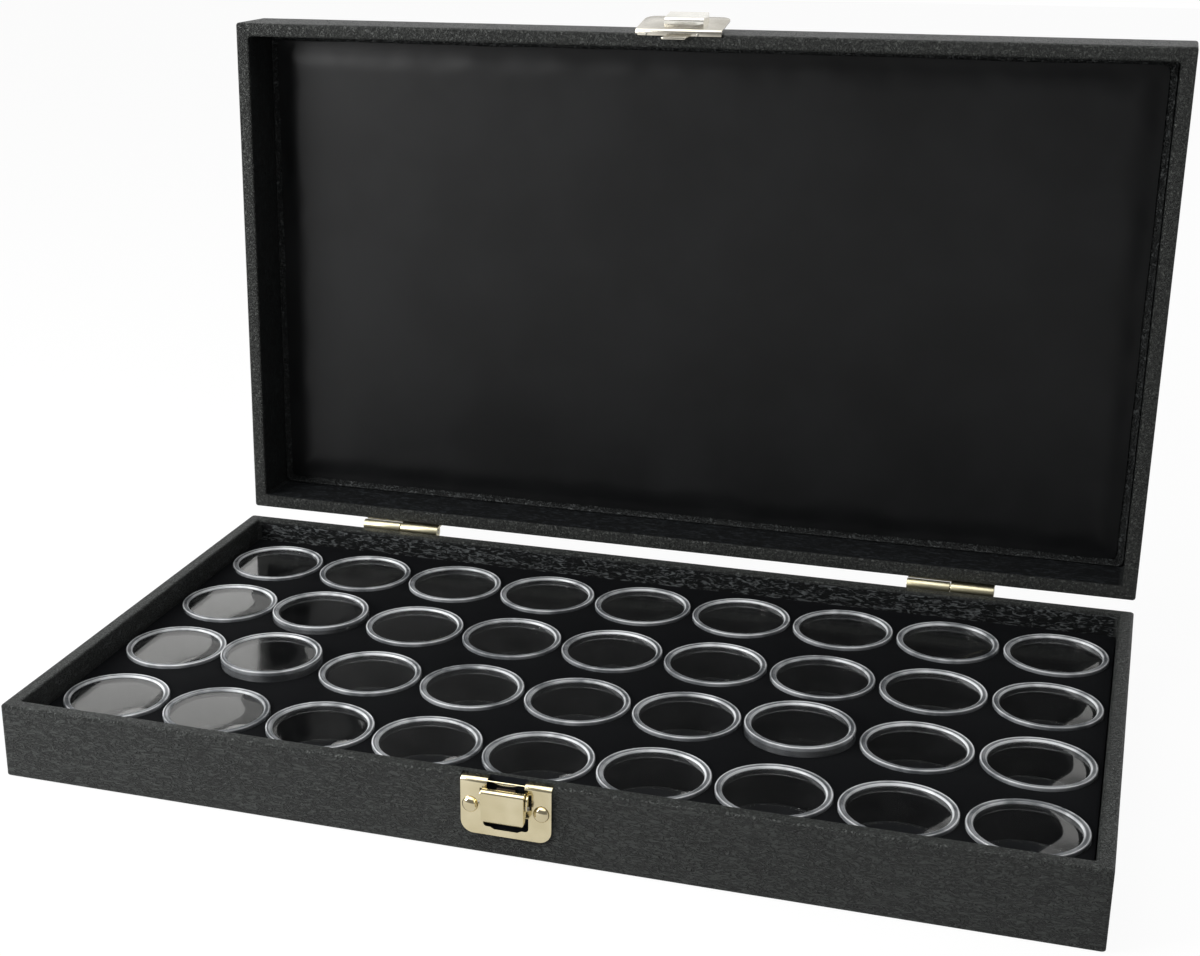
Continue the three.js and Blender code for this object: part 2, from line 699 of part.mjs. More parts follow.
// Base tray: four boards and the panel
const walls = baseWalls();
const baseTray = group(
  namedMesh('base_front_wall', baseBoard(walls, 0, -1), finish.leatherette),
  namedMesh('base_back_wall', baseBoard(walls, 0, 1), finish.leatherette),
  namedMesh('base_left_wall', baseBoard(walls, -1, 0), finish.leatherette),
  namedMesh('base_right_wall', baseBoard(walls, 1, 0), finish.leatherette),
  namedMesh('base_bottom_panel', trayPanel(baseHeight), finish.leatherette),
);
baseTray.position.z = baseHeight;

// Catch on the front wall, at the rim
const catchGroup = group(
  namedMesh('catch_plate', catchPlate(), finish.nickel),
  namedMesh('catch_lever', catchLever(), finish.nickel),
  namedMesh('catch_lever_pin', leverPin(), finish.nickel),
  namedMesh('catch_spring', leverSpring(), finish.steel),
  namedMesh('catch_rivet_left', rivet(-1), finish.nickel),
  namedMesh('catch_rivet_right', rivet(1), finish.nickel),
);
catchGroup.position.set(0, -caseDepth / 2, baseHeight);

// Insert with its jars
const foam = namedMesh('foam_insert', foamInsert(), finish.foam);
foam.position.z = cardThickness;
const insert = group(namedMesh('insert_backing_card', backingCard(), finish.card), foam);
const jarGeometry = geometryOf(gemJar());
for (let row = 1; row <= jarRows; row += 1) {
  for (let column = 1; column <= jarColumns; column += 1) {
    const label = `r${row}_c${column}`;
    const { x, y } = jarPlace(row, column);
    const jar = namedMesh(`jar_${label}`, jarGeometry, finish.clearPlastic);
    jar.position.set(x, y, cardThickness + (proudJars[label] ?? 0));
    insert.add(jar);
  }
}
insert.position.z = boardPanel;

// Lid, drawn closed over the base and then turned open about the hinge pins
const lidTray = group(
  namedMesh('lid_wall_frame', lidWalls(), finish.leatherette),
  namedMesh('lid_top_panel', trayPanel(lidHeight), finish.leatherette),
  namedMesh('lid_lining_panel', liningBoard(), finish.lining),
);
lidTray.position.z = baseHeight + partingGap;
lidTray.rotation.y = Math.PI;

const keeper = group(
  namedMesh('keeper_plate', keeperPlate(), finish.nickel),
  namedMesh('keeper_grip', lidGrip(), finish.nickel),
);
keeper.position.set(0, -caseDepth / 2, baseHeight + partingGap);
keeper.rotation.y = Math.PI;

const closedLid = group(lidTray, keeper);
closedLid.position.set(0, -hingeY, -hingeZ);
const leafGeometry = geometryOf(hingeLeaf());
const pinGeometry = geometryOf(hingePin());
const hinges = new THREE.Group();
const hingePlace = caseLength / 2 - hingeInset;
for (const [side, place] of [['left', -hingePlace], ['right', hingePlace]]) {
  const baseLeaf = namedMesh(`hinge_${side}_base_leaf`, leafGeometry, finish.nickel);
  const pin = namedMesh(`hinge_${side}_pin`, pinGeometry, finish.steel);
  const lidLeaf = namedMesh(`hinge_${side}_lid_leaf`, leafGeometry, finish.nickel);
  for (const piece of [baseLeaf, pin, lidLeaf]) piece.position.set(place, caseDepth / 2, hingeZ);
  lidLeaf.rotation.y = Math.PI;
  hinges.add(baseLeaf, pin);
  closedLid.add(lidLeaf);
}
const lid = group(closedLid);
lid.position.set(0, hingeY, hingeZ);
lid.rotation.x = -lidOpenAngle;

export default group(baseTray, catchGroup, insert, hinges, lid);
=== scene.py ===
# Travel case for gem jars: leatherette trays, foam insert, clear jars, padded lining, sprung catch.
# Lengths in the dictionaries are in millimetres unless a note says otherwise.
import json
import math

import bmesh
import bpy
from mathutils import Matrix, Vector, noise


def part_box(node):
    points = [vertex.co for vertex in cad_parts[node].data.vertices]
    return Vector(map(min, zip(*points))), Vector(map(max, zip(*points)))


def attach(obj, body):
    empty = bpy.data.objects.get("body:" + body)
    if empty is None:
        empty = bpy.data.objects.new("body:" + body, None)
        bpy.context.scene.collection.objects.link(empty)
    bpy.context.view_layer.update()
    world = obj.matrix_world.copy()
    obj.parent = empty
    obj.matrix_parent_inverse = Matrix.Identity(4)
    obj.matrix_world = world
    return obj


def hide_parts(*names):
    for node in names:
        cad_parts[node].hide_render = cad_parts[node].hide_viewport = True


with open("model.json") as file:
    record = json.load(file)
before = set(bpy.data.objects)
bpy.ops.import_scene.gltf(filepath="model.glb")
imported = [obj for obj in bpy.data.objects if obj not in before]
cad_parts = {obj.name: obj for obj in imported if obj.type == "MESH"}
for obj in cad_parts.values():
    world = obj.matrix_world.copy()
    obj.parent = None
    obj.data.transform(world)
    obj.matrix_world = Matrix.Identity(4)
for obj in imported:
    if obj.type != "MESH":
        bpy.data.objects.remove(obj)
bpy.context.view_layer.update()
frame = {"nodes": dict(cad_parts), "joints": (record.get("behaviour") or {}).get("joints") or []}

millimetre = 0.001
scene = bpy.context.scene


# Sizes taken from the frame
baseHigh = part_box("base_right_wall")[1] / millimetre
lidJoint = next(joint for joint in frame["joints"] if joint["name"] == "case_lid_hinge")
caseSizes = {
    "halfLength": baseHigh.x,
    "halfDepth": (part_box("base_back_wall")[1] / millimetre).y,
    "baseHeight": baseHigh.z,
    "lidHeight": 26.4,
    "wall": 5.4,
    "innerRadius": 2.4,
    "board": 3.0,
    "partingGap": 0.6,
    "openAngle": math.radians(-lidJoint["range_deg"][0]),
}
hingePoint = Vector(lidJoint["pos_m"])

# Trays are drawn with the rim at z = 0 and the front wall at low y, then put in place by these
toMetres = Matrix.Scale(millimetre, 4)
baseFrame = Matrix.Translation((0, 0, caseSizes["baseHeight"] * millimetre)) @ toMetres
closedLid = (
    Matrix.Translation((0, 0, (caseSizes["baseHeight"] + caseSizes["partingGap"]) * millimetre))
    @ Matrix.Rotation(math.pi, 4, "Y")
    @ toMetres
)
openLid = (
    Matrix.Translation(hingePoint)
    @ Matrix.Rotation(-caseSizes["openAngle"], 4, "X")
    @ Matrix.Translation(-hingePoint)
)
lidFrame = openLid @ closedLid


# Camera, at the photograph's viewing angle; its place is in metres
cameraSettings = {
    "place": (0.17626, -0.642745, 0.31964),
    "turn": math.radians(19.244),
    "tilt": math.radians(69.809),
    "roll": math.radians(-0.595),
    "lens": 58.873,
    "shift": (0.1083, 0.04875),
}
cameraData = bpy.data.cameras.new("photoCamera")
cameraData.lens = cameraSettings["lens"]
cameraData.shift_x, cameraData.shift_y = cameraSettings["shift"]
cameraData.clip_start = 0.01
camera = bpy.data.objects.new("photoCamera", cameraData)
camera.matrix_world = (
    Matrix.Translation(cameraSettings["place"])
    @ Matrix.Rotation(cameraSettings["turn"], 4, "Z")
    @ Matrix.Rotation(cameraSettings["tilt"], 4, "X")
    @ Matrix.Rotation(cameraSettings["roll"], 4, "Z")
)
scene.collection.objects.link(camera)
scene.camera = camera
print("camera set")


# A socket that takes part in sums
class Field:
    def __init__(self, graph, socket):
        self.graph = graph
        self.socket = socket

    def combined(self, operation, *others):
        return self.graph.node("ShaderNodeMath", {"operation": operation}, [self, *others])

    def __add__(self, other):
        return self.combined("ADD", other)

    __radd__ = __add__

    def __sub__(self, other):
        return self.combined("SUBTRACT", other)

    def __rsub__(self, other):
        return self.graph.node("ShaderNodeMath", {"operation": "SUBTRACT"}, [other, self])

    def __mul__(self, other):
        return self.combined("MULTIPLY", other)

    __rmul__ = __mul__

    def __truediv__(self, other):
        return self.combined("DIVIDE", other)

    def __pow__(self, other):
        return self.combined("POWER", other)

    def smoothed(self, low, high):
        values = {"Value": self, "From Min": low, "From Max": high}
        return self.graph.node("ShaderNodeMapRange", {"interpolation_type": "SMOOTHSTEP"}, values)

    def greatest(self, other):
        return self.combined("MAXIMUM", other)

    def magnitude(self):
        return self.combined("ABSOLUTE")

    def spread(self, low, high):
        # low where the field is 0, high where it is 1
        return self * (high - low) + low


# A node tree whose nodes are made by their type, settings and socket values
class Graph:
    def __init__(self, tree):
        self.tree = tree

    def fill(self, made, values):
        # fields are linked, plain values are set on the node's own sockets
        pairs = enumerate(values) if isinstance(values, list) else values.items()
        for key, value in pairs:
            if isinstance(value, Field):
                self.tree.links.new(value.socket, made.inputs[key])
            else:
                made.inputs[key].default_value = value
        return made

    def node(self, kind, settings=None, values=None, output=0):
        made = self.tree.nodes.new(kind)
        for key, value in (settings or {}).items():
            setattr(made, key, value)
        return Field(self, self.fill(made, values or {}).outputs[output])

    def noise(self, place, scale, detail=2.0, roughness=0.5, distortion=0.0):
        # a scale of three numbers stretches the pattern
        if isinstance(scale, tuple):
            place, scale = self.node("ShaderNodeMapping", {}, {"Vector": place, "Scale": scale}), 1.0
        values = {"Vector": place, "Scale": scale, "Detail": detail, "Roughness": roughness,
                  "Distortion": distortion}
        return self.node("ShaderNodeTexNoise", {}, values)

    def objectPlace(self):
        return self.node("ShaderNodeTexCoord", {}, {}, "Object")

    def placeIn(self, matrix):
        # object coordinates turned into a tray's own millimetres
        values = {"Vector": self.objectPlace(), "Location": matrix.to_translation(),
                  "Rotation": matrix.to_euler(), "Scale": matrix.to_scale()}
        return self.node("ShaderNodeMapping", {"vector_type": "TEXTURE"}, values)

    def part(self, vector, axis):
        return self.node("ShaderNodeSeparateXYZ", {}, {"Vector": vector}, axis)

    def vector(self, **parts):
        return self.node("ShaderNodeCombineXYZ", {}, parts)

    def attribute(self, name):
        return self.node("ShaderNodeAttribute", {"attribute_name": name}, {}, "Fac")

    def mixed(self, factor, first, second):
        return self.node("ShaderNodeMix", {"data_type": "RGBA"}, {0: factor, 6: first, 7: second}, 2)

    def bumped(self, height, strength, distance):
        return self.node("ShaderNodeBump", {}, {"Height": height, "Strength": strength, "Distance": distance})

    def blended(self, factor, surface, second):
        # the material's own surface, mixed with a second shader on its way to the output
        blend = self.node("ShaderNodeMixShader", {}, [factor, Field(self, surface.outputs[0]), second])
        self.fill(self.tree.nodes["Material Output"], {"Surface": blend})

    def gathered(self, *parts):
        # several geometries as one
        both = self.tree.nodes.new("GeometryNodeJoinGeometry")
        for piece in parts:
            self.tree.links.new(piece.socket, both.inputs[0])
        return Field(self, both.outputs[0])


def colour(red, green, blue):
    # 0 to 255 as seen on screen, made linear
    def linear(value):
        share = value / 255
        return share / 12.92 if share <= 0.04045 else ((share + 0.055) / 1.055) ** 2.4

    return (linear(red), linear(green), linear(blue), 1.0)


def newMaterial(name):
    material = bpy.data.materials.new(name)
    material.use_nodes = True
    return material, Graph(material.node_tree), material.node_tree.nodes["Principled BSDF"]


# Leatherette: rounded wrinkles that run along the walls, smaller and blotchy on the rims.
# Its patterns have their scale per millimetre, the other materials' have it per metre.
leatherette = {
    "dark": colour(26, 28, 27),
    "light": colour(55, 58, 56),
    # painted shade and painted highlights for the inner faces: a near-black tone, and a lighter tone for the
    # crests of their wrinkles
    "paintedShadeTone": colour(9, 10, 11),
    "ridge": colour(92, 95, 96),
    "rim": colour(34, 37, 35),
    "speck": colour(104, 109, 105),
    "wrinkle": (0.26, 0.26, 0.8),
    "rimWrinkle": 0.85,
    "fine": (0.75, 0.75, 2.2),
    "pebble": 1.7,
    "speckScale": 0.9,
    "toneScale": 0.03,
    "creaseWidth": 0.09,
    "bumpDepth": 0.0012,  # metres
    "gloss": 0.38,
    "roughness": (0.6, 0.36),  # between the fine strokes, on them
    "rimFrom": (-1.5, -0.3),
    "insideFrom": (4.4, 5.2),
    "longWallFrom": (6.2, 7.2),
    "insideShade": (0.3, 0.95),  # end walls, long walls
    "floorFrom": (-25.9, -25.0),
    # fold levels where the painted crest highlights start and reach full, then the gloss and roughness of the
    # dull surface that carries the painted shade
    "ridges": (0.47, 0.72),
    "dullGloss": 0.1,
    "dullRoughness": 0.7,
    "speckShare": 0.42,
}
# the lid's copy: its own rim and speck tones, dimmer painted crest highlights, and more painted shade on its
# end walls
lidLook = dict(leatherette, rim=colour(31, 33, 31), speck=colour(104, 107, 102), ridge=colour(44, 47, 50),
               insideShade=(0.6, 0.95))
# the wrap's margin turned in over the lid's floor: blotchy all over, with darker tones than the walls and a
# fixed share of the dull surface, as painted shade
marginLook = dict(leatherette, wrinkle=(0.6, 0.6, 0.9), fine=(1.2, 1.2, 1.2), dark=colour(12, 13, 13),
                  light=colour(40, 43, 42), insideShade=(0.3, 0.3))


def makeLeatherette(name, matrix, look=leatherette):
    material, graph, surface = newMaterial(name)
    place = graph.placeIn(matrix)
    height = graph.part(place, "Z")
    rim = height.smoothed(*look["rimFrom"])
    wallFolds = graph.noise(place, look["wrinkle"], 2.0, 0.55, 1.4)
    folds = wallFolds * (1 - rim) + graph.noise(place, look["rimWrinkle"], 2.0, 0.6, 0.6) * rim
    strokes = graph.noise(place, look["fine"], 2.0, 0.55, 0.8)
    plateau = (folds - 0.5).magnitude().smoothed(0.0, look["creaseWidth"])
    pebble = graph.noise(place, look["pebble"], 2.0, 0.6)
    tone = graph.noise(place, look["toneScale"])
    # how far in from the ends and from the long sides a point lies, and whether it faces inwards
    reach = [caseSizes[key] - graph.part(place, axis).magnitude()
             for key, axis in (("halfLength", "X"), ("halfDepth", "Y"))]
    inside = height.smoothed(*look["floorFrom"]) * (1 - rim)
    for distance in reach:
        inside = inside * distance.smoothed(*look["insideFrom"])
    # painted shade: each inner face's share of the dull dark surface, larger on the long walls than on the
    # end walls
    shaded = inside * reach[0].smoothed(*look["longWallFrom"]).spread(*look["insideShade"])
    specks = graph.noise(place, look["speckScale"], 2.0, 0.6, 0.5).smoothed(0.5, 0.66) * rim
    relief = plateau * 0.85 + pebble * 0.2 + strokes * 0.2
    shade = (plateau * 0.75 + pebble * 0.2 + strokes * 0.3 + tone * 0.2).smoothed(0.4, 1.2)
    body = graph.mixed(shade, look["dark"], look["light"])
    edged = graph.mixed(rim * (pebble * 0.6 + 0.25), body, look["rim"])
    graph.fill(surface, {
        "Specular IOR Level": look["gloss"],
        "Base Color": graph.mixed(specks * look["speckShare"], edged, look["speck"]),
        "Roughness": strokes.spread(*look["roughness"]),
        "Normal": graph.bumped(relief, 1.0, look["bumpDepth"]),
    })
    # painted shade on the inner faces: they lose their sheen and turn near black, but for painted highlights
    # on the crests of the wrinkles
    shadeAndCrestHighlights = graph.mixed(folds.smoothed(*look["ridges"]), look["paintedShadeTone"], look["ridge"])
    paintedShadeSurface = graph.node("ShaderNodeBsdfPrincipled", {}, {
        "Specular IOR Level": look["dullGloss"], "Roughness": look["dullRoughness"], "Base Color": shadeAndCrestHighlights})
    graph.blended(shaded, surface, paintedShadeSurface)
    return material


# The plain finishes: two colours mixed by a shade, with a roughness and a fine relief.
# "bump" is its strength and its depth in metres.
def painted(name, look, paint):
    material, graph, surface = newMaterial(name)
    shade, sheen, relief = paint(graph, graph.objectPlace(), look)
    graph.fill(surface, {
        "Metallic": look["metal"],
        "Specular IOR Level": look["gloss"],
        "Base Color": graph.mixed(shade, *[colour(*tone) for tone in look["tones"]]),
        "Roughness": sheen,
        "Normal": graph.bumped(relief, *look["bump"]),
    })
    return material


# Nickel plate: warm, satin, with faint drawn lines and clouding
nickel = {
    "tones": ((226, 215, 182), (210, 198, 162)), "metal": 1.0, "gloss": 0.5,
    "roughness": (0.15, 0.22), "lineRoughness": 0.04, "cloudScale": 90.0,
    "lineScale": (25.0, 1400.0, 1400.0), "bump": (0.05, 0.00003),
}
# the keeper's copy is paler and greyer and the grip's nearly white: painted reflection of the bright
# surroundings on the same nickel
keeperNickelPaintedReflection = dict(nickel, tones=((214, 209, 197), (186, 181, 169)), roughness=(0.2, 0.3))
gripNickelPaintedReflection = dict(keeperNickelPaintedReflection, tones=((250, 248, 240), (232, 229, 220)))
satin = dict(nickel, tones=((212, 206, 176), (186, 178, 146)), roughness=(0.3, 0.38))
polished = dict(nickel, tones=((226, 214, 182), (208, 196, 162)), roughness=(0.07, 0.11),
                lineScale=(300.0, 300.0, 300.0))
steel = dict(nickel, tones=((170, 168, 160), (120, 116, 108)), roughness=(0.25, 0.42),
             lineScale=(30.0, 700.0, 700.0))
# a darker copy of the steel for the hook inside the catch's pocket: painted shade
paintedShadeSteel = dict(steel, tones=((88, 78, 66), (54, 47, 40)))


def paintMetal(graph, place, look):
    cloud = graph.noise(place, look["cloudScale"])
    lines = graph.noise(place, look["lineScale"])
    sheen = cloud.spread(*look["roughness"]) + (lines - 0.5) * look["lineRoughness"]
    return cloud.smoothed(0.3, 0.75), sheen, lines


# Foam: near black, matt, with the fine open cells of a cut sheet
foamLook = {
    "tones": ((3, 4, 5), (12, 13, 15)), "metal": 0.0, "gloss": 0.08,
    "roughness": (0.85, 0.97), "cellScale": 2600.0, "cloudScale": 90.0, "bump": (0.5, 0.00012),
}


def paintFoam(graph, place, look):
    cells = graph.node("ShaderNodeTexVoronoi", {}, {"Vector": place, "Scale": look["cellScale"]}, "Distance")
    cloud = graph.noise(place, look["cloudScale"], 3.0)
    return (cells * 0.7 + cloud * 0.4).smoothed(0.2, 0.9), cloud.spread(*look["roughness"]), cells


# Card under the foam: smooth black paper
cardLook = {
    "tones": ((13, 15, 20), (24, 28, 34)), "metal": 0.0, "gloss": 0.25,
    "roughness": (0.6, 0.75), "fibreScale": (1300.0, 2860.0, 1300.0), "cloudScale": 45.0,
    "bump": (0.25, 0.00008),
}


def paintCard(graph, place, look):
    fibres = graph.noise(place, look["fibreScale"], 3.0)
    cloud = graph.noise(place, look["cloudScale"])
    return (fibres * 0.5 + cloud * 0.5).smoothed(0.3, 0.7), fibres.spread(*look["roughness"]), fibres


# Lining: smooth black plastic cloth over a thin pad
liningLook = {
    "tones": ((10, 11, 12), (19, 20, 21)), "metal": 0.0, "gloss": 0.28,
    "roughness": (0.38, 0.46), "grainScale": 1500.0, "cloudScale": 25.0, "bump": (0.12, 0.0003),
}


def paintLining(graph, place, look):
    cloud = graph.noise(place, look["cloudScale"], 3.0, 0.6)
    grain = graph.noise(place, look["grainScale"])
    return cloud.smoothed(0.3, 0.75), cloud.spread(*look["roughness"]), grain * 0.4 + cloud


# Clear styrene: a thin bright film whose cover grows where the sheet is seen edge on
clearLook = {
    "film": (0.95, 0.95, 0.93, 1.0),
    "facingCover": 0.085,
    "cupCover": 0.005,
    "cupEdgeCover": 0.05,
    "roughness": (0.07, 0.13),
    "smearScale": 120.0,
    "warp": 0.032,
    "shoulder": (9.5, 0.05),
    "milk": colour(176, 179, 182),
    "milkDeep": colour(104, 108, 112),
    # painted highlight: the near-white tone of the ring's highlight lines and streaks
    "ringHighlight": colour(240, 242, 244),
    "milkGloss": 0.6,
    "milkRoughness": 0.34,
    "patchScale": 75.0,
    "waveScale": 22.0,
    "waveHeight": 0.0004,
    "ring": (16.6, 16.95),
    # radii and widths of the painted highlight lines on the ring's rounded edges
    "lines": (17.15, 18.9),
    "lineWidth": (0.12, 0.42),
    "skirtTop": (13.6, 14.2),
    "scratches": (260.0, 900.0, 400.0),
    "haze": 0.017,
}


def makeFilm(name, facingOn, edgeOn, look=clearLook):
    material, graph, surface = newMaterial(name)
    place = graph.objectPlace()
    # the share of light that the sheet turns back grows towards the view along it
    facing = graph.node("ShaderNodeLayerWeight", {}, {"Blend": 0.5}, "Facing")
    smears = graph.noise(place, look["smearScale"], 2.0, 0.6).smoothed(0.4, 0.8)
    graph.fill(surface, {
        "Base Color": look["film"],
        "Metallic": 1.0,
        "Roughness": smears.spread(*look["roughness"]),
        "Alpha": (facing ** 5.0).spread(facingOn, edgeOn),
    })
    return material, graph, surface, place


def makeClearLid(look=clearLook):
    material, graph, film, place = makeFilm("clearLid", look["facingCover"], 1.0)
    radius, height = graph.attribute("radius"), graph.attribute("height")
    # the pressed sheet isn't quite flat: it leans a little, waves, and rounds down at one side
    start, bend = look["shoulder"]
    over = (radius - start).greatest(0.0)
    oneSide = (graph.attribute("across") / radius.greatest(1.0)).smoothed(0.15, 0.85)
    broad = graph.noise(place, look["waveScale"], 1.0)
    wave = broad * look["waveHeight"] - graph.part(place, "X") * look["warp"]
    wave = wave - over * over * oneSide * (0.5 * bend * millimetre)
    graph.fill(film, {"Normal": graph.bumped(wave, 1.0, 1.0)})

    # milky ring: two painted highlight lines on its rounded edges, broken into painted reflection streaks
    # that fade and brighten on their way round, with a darker band between
    patches = graph.noise(place, look["patchScale"], 2.0, 0.65, 0.4)
    inner, outer = [1 - (radius - at).magnitude().smoothed(*look["lineWidth"]) for at in look["lines"]]
    onTop = height.smoothed(*look["skirtTop"])
    highlightStreak = (inner + outer) * (patches * 1.1 + broad * 0.7).smoothed(0.45, 1.15) * onTop
    band = graph.mixed(patches.smoothed(0.3, 0.7), look["milkDeep"], look["milk"])
    milk = graph.node("ShaderNodeBsdfPrincipled", {}, {
        "Specular IOR Level": look["milkGloss"],
        "Base Color": graph.mixed(highlightStreak, band, look["ringHighlight"]),
        "Roughness": look["milkRoughness"] - patches * 0.16,
        "Alpha": onTop * 0.5 + 0.14 + patches * 0.14 + highlightStreak * 0.3,
    })
    scratches = graph.noise(place, look["scratches"], 3.0, 0.7).smoothed(0.6, 0.78)
    worn = scratches * radius.smoothed(7.0, 16.0) * 0.06 + look["haze"]
    graph.blended(radius.smoothed(*look["ring"]).greatest(worn), film, milk)
    return material


finishes = {
    "baseGrain": makeLeatherette("leatheretteBase", baseFrame),
    "lidGrain": makeLeatherette("leatheretteLid", lidFrame, lidLook),
    "marginGrain": makeLeatherette("leatheretteMargin", lidFrame, marginLook),
    "clearLid": makeClearLid(),
    "clearCup": makeFilm("clearCup", clearLook["cupCover"], clearLook["cupEdgeCover"])[0],
    "foam": painted("blackFoam", foamLook, paintFoam),
    "card": painted("blackCard", cardLook, paintCard),
    "lining": painted("liningCloth", liningLook, paintLining),
}
metals = {
    "nickel": ("nickelPlate", nickel), "polished": ("nickelPolished", polished),
    "satin": ("nickelSatin", satin), "keeperNickelPaintedReflection": ("nickelKeeper", keeperNickelPaintedReflection),
    "gripNickelPaintedReflection": ("nickelGripPaintedReflection", gripNickelPaintedReflection), "steel": ("plainSteel", steel),
    "paintedShadeSteel": ("paintedShadeSteel", paintedShadeSteel),
}
for finish, (name, look) in metals.items():
    finishes[finish] = painted(name, look, paintMetal)
print("materials made")


# Mesh helpers: shapes are drawn in millimetres and placed in metres at the end
def meshObject(name, bm):
    mesh = bpy.data.meshes.new(name)
    bm.normal_update()
    bm.to_mesh(mesh)
    bm.free()
    made = bpy.data.objects.new(name, mesh)
    scene.collection.objects.link(made)
    return made


def baked(made):
    # the object's own modifiers are applied to its mesh
    bpy.context.view_layer.update()
    evaluated = made.evaluated_get(bpy.context.evaluated_depsgraph_get())
    mesh = bpy.data.meshes.new_from_object(evaluated)
    made.modifiers.clear()
    made.data = mesh
    return made


def modified(made, kind, **options):
    modifier = made.modifiers.new(kind.lower(), kind)
    for key, value in options.items():
        setattr(modifier, key, value)
    return baked(made)


def cut(made, *cutters, operation="DIFFERENCE"):
    for cutter in cutters:
        modified(made, "BOOLEAN", operation=operation, solver="EXACT", object=cutter)
        bpy.data.objects.remove(cutter)
    return made


def rounded(made, width, segments=2, angle=40):
    return modified(made, "BEVEL", width=width, segments=segments, limit_method="ANGLE",
                    angle_limit=math.radians(angle))


def placed(made, matrix, finish, body, replaced=(), smoothAngle=40):
    made.data.transform(matrix)
    made.data.materials.clear()
    made.data.materials.append(finishes[finish])
    made.data.shade_smooth()
    made.data.set_sharp_from_angle(angle=math.radians(smoothAngle))
    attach(made, body)
    if replaced:
        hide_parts(*replaced)
    return made


def skinned(name, rings, looped=False, merged=0.0):
    # a closed shell through rings of points: a ring of one point is a pole, and open ends are capped
    bm = bmesh.new()
    rings = [[bm.verts.new(spot) for spot in ring] for ring in rings]
    for lower, upper in zip(rings, rings[1:] + rings[:1] if looped else rings[1:]):
        for i in range(max(len(lower), len(upper))):
            j = (i + 1) % max(len(lower), len(upper))
            below = lower if len(lower) == 1 else (lower[i], lower[j])
            above = upper if len(upper) == 1 else (upper[j], upper[i])
            bm.faces.new((*below, *above))
    if not looped:
        for ring in (rings[0], rings[-1]):
            if len(ring) > 2:
                bm.faces.new(ring)
    if merged:
        bmesh.ops.remove_doubles(bm, verts=bm.verts, dist=merged)
    bmesh.ops.recalc_face_normals(bm, faces=bm.faces)
    return meshObject(name, bm)


def prism(name, outline, low, high, axis):
    # an outline given a thickness: axis X takes (y, z), axis Y takes (x, z)
    return skinned(name, [[(depth, a, b) if axis == "X" else (a, depth, b) for a, b in outline]
                          for depth in (low, high)])


def arc(centre, radius, start, end, steps):
    # points on an arc, angles in degrees
    points = []
    for step in range(steps + 1):
        angle = math.radians(start + (end - start) * step / steps)
        points.append((centre[0] + radius * math.cos(angle), centre[1] + radius * math.sin(angle)))
    return points


def roundedBox(left, right, low, high, lowRadius, highRadius, steps=8):
    # from the lower right corner upwards; a corner without a radius is a single point
    points = []
    for number, (x, y, signX, signY, radius) in enumerate((
            (right, low, 1, -1, lowRadius), (right, high, 1, 1, highRadius),
            (left, high, -1, 1, highRadius), (left, low, -1, -1, lowRadius))):
        start = 90 * number - 90
        centre = (x - signX * radius, y - signY * radius)
        points += arc(centre, radius, start, start + 90, steps) if radius else [(x, y)]
    return points


def turnedShape(name, profile, steps):
    # a profile of (radius, height) turned about z, closed where it meets the axis
    return skinned(name, [
        [(x, y, height) for x, y in (arc((0, 0), radius, 0, 360, steps)[:-1] if radius else [(0, 0)])]
        for radius, height in profile])


# Tray: board sides and floor in one wrap, swept round the case's outline
trayShape = {
    "outerRadius": 1.1,
    "innerRadius": 1.2,
    "rimRadius": 0.9,
    "footRadius": 0.7,
    "cornerSteps": 6,
    "edgeSteps": 4,
    "sideStep": 7.0,
    "waviness": 0.07,
    "swayScale": 0.045,
    "liftShare": 0.6,
    "baseSeed": 1.7,
    "lidSeed": 5.9,
}


quarters = ((1, 1, 0), (-1, 1, 90), (-1, -1, 180), (1, -1, 270))  # corners' sides and their arcs' start


def trayPath(shape=trayShape):
    # pairs of outer and inner points round the tray
    corners = []
    for signX, signY, start in quarters:
        arcs = []
        for inset, radius in ((0, shape["outerRadius"]), (caseSizes["wall"], shape["innerRadius"])):
            centre = (signX * (caseSizes["halfLength"] - inset - radius),
                      signY * (caseSizes["halfDepth"] - inset - radius))
            arcs.append(arc(centre, radius, start, start + 90, shape["cornerSteps"]))
        corners.append(list(zip(*arcs)))
    pairs = []
    for corner, after in zip(corners, corners[1:] + corners[:1]):
        pairs += corner
        last, first = corner[-1], after[0]
        count = max(1, round(math.dist(last[0], first[0]) / shape["sideStep"]))
        pairs += [tuple(tuple(a + (b - a) * step / count for a, b in zip(start, end))
                        for start, end in zip(last, first)) for step in range(1, count)]
    return pairs


def makeTray(name, height, seed, shape=trayShape):
    wall, floor = caseSizes["wall"], -height + caseSizes["board"]
    rim, foot, steps = shape["rimRadius"], shape["footRadius"], shape["edgeSteps"]
    profile = arc((foot, foot - height), foot, 270, 180, steps)
    profile += [(0, -height + (height - rim) * share) for share in (0.3, 0.5, 0.7, 0.85)]
    profile += arc((rim, -rim), rim, 180, 90, steps) + arc((wall - rim, -rim), rim, 90, 0, steps)
    profile += [(wall, floor * share) for share in (0.4, 0.7, 1.0)]
    path = trayPath()

    def swayed(outer, inner, share, z):
        # a point across the wall's thickness, moved a little because no wrapped board is quite straight
        x, y = (a + (b - a) * share for a, b in zip(outer, inner))
        sway = Vector((x * shape["swayScale"], y * shape["swayScale"], seed + z * 0.05))
        inset = shape["waviness"] * (0.5 + 0.5 * noise.noise(sway))
        lift = shape["waviness"] * shape["liftShare"] * noise.noise(sway + Vector((7, 3, 5)))
        spot = [value - math.copysign(inset, value) * (abs(value) > half - wall * 1.6)
                for value, half in ((x, caseSizes["halfLength"]), (y, caseSizes["halfDepth"]))]
        return *spot, z + (min(0, lift) if z > -rim * 2 else 0)

    return skinned(name, [[swayed(outer, inner, depth / wall, z) for outer, inner in path]
                          for depth, z in profile])


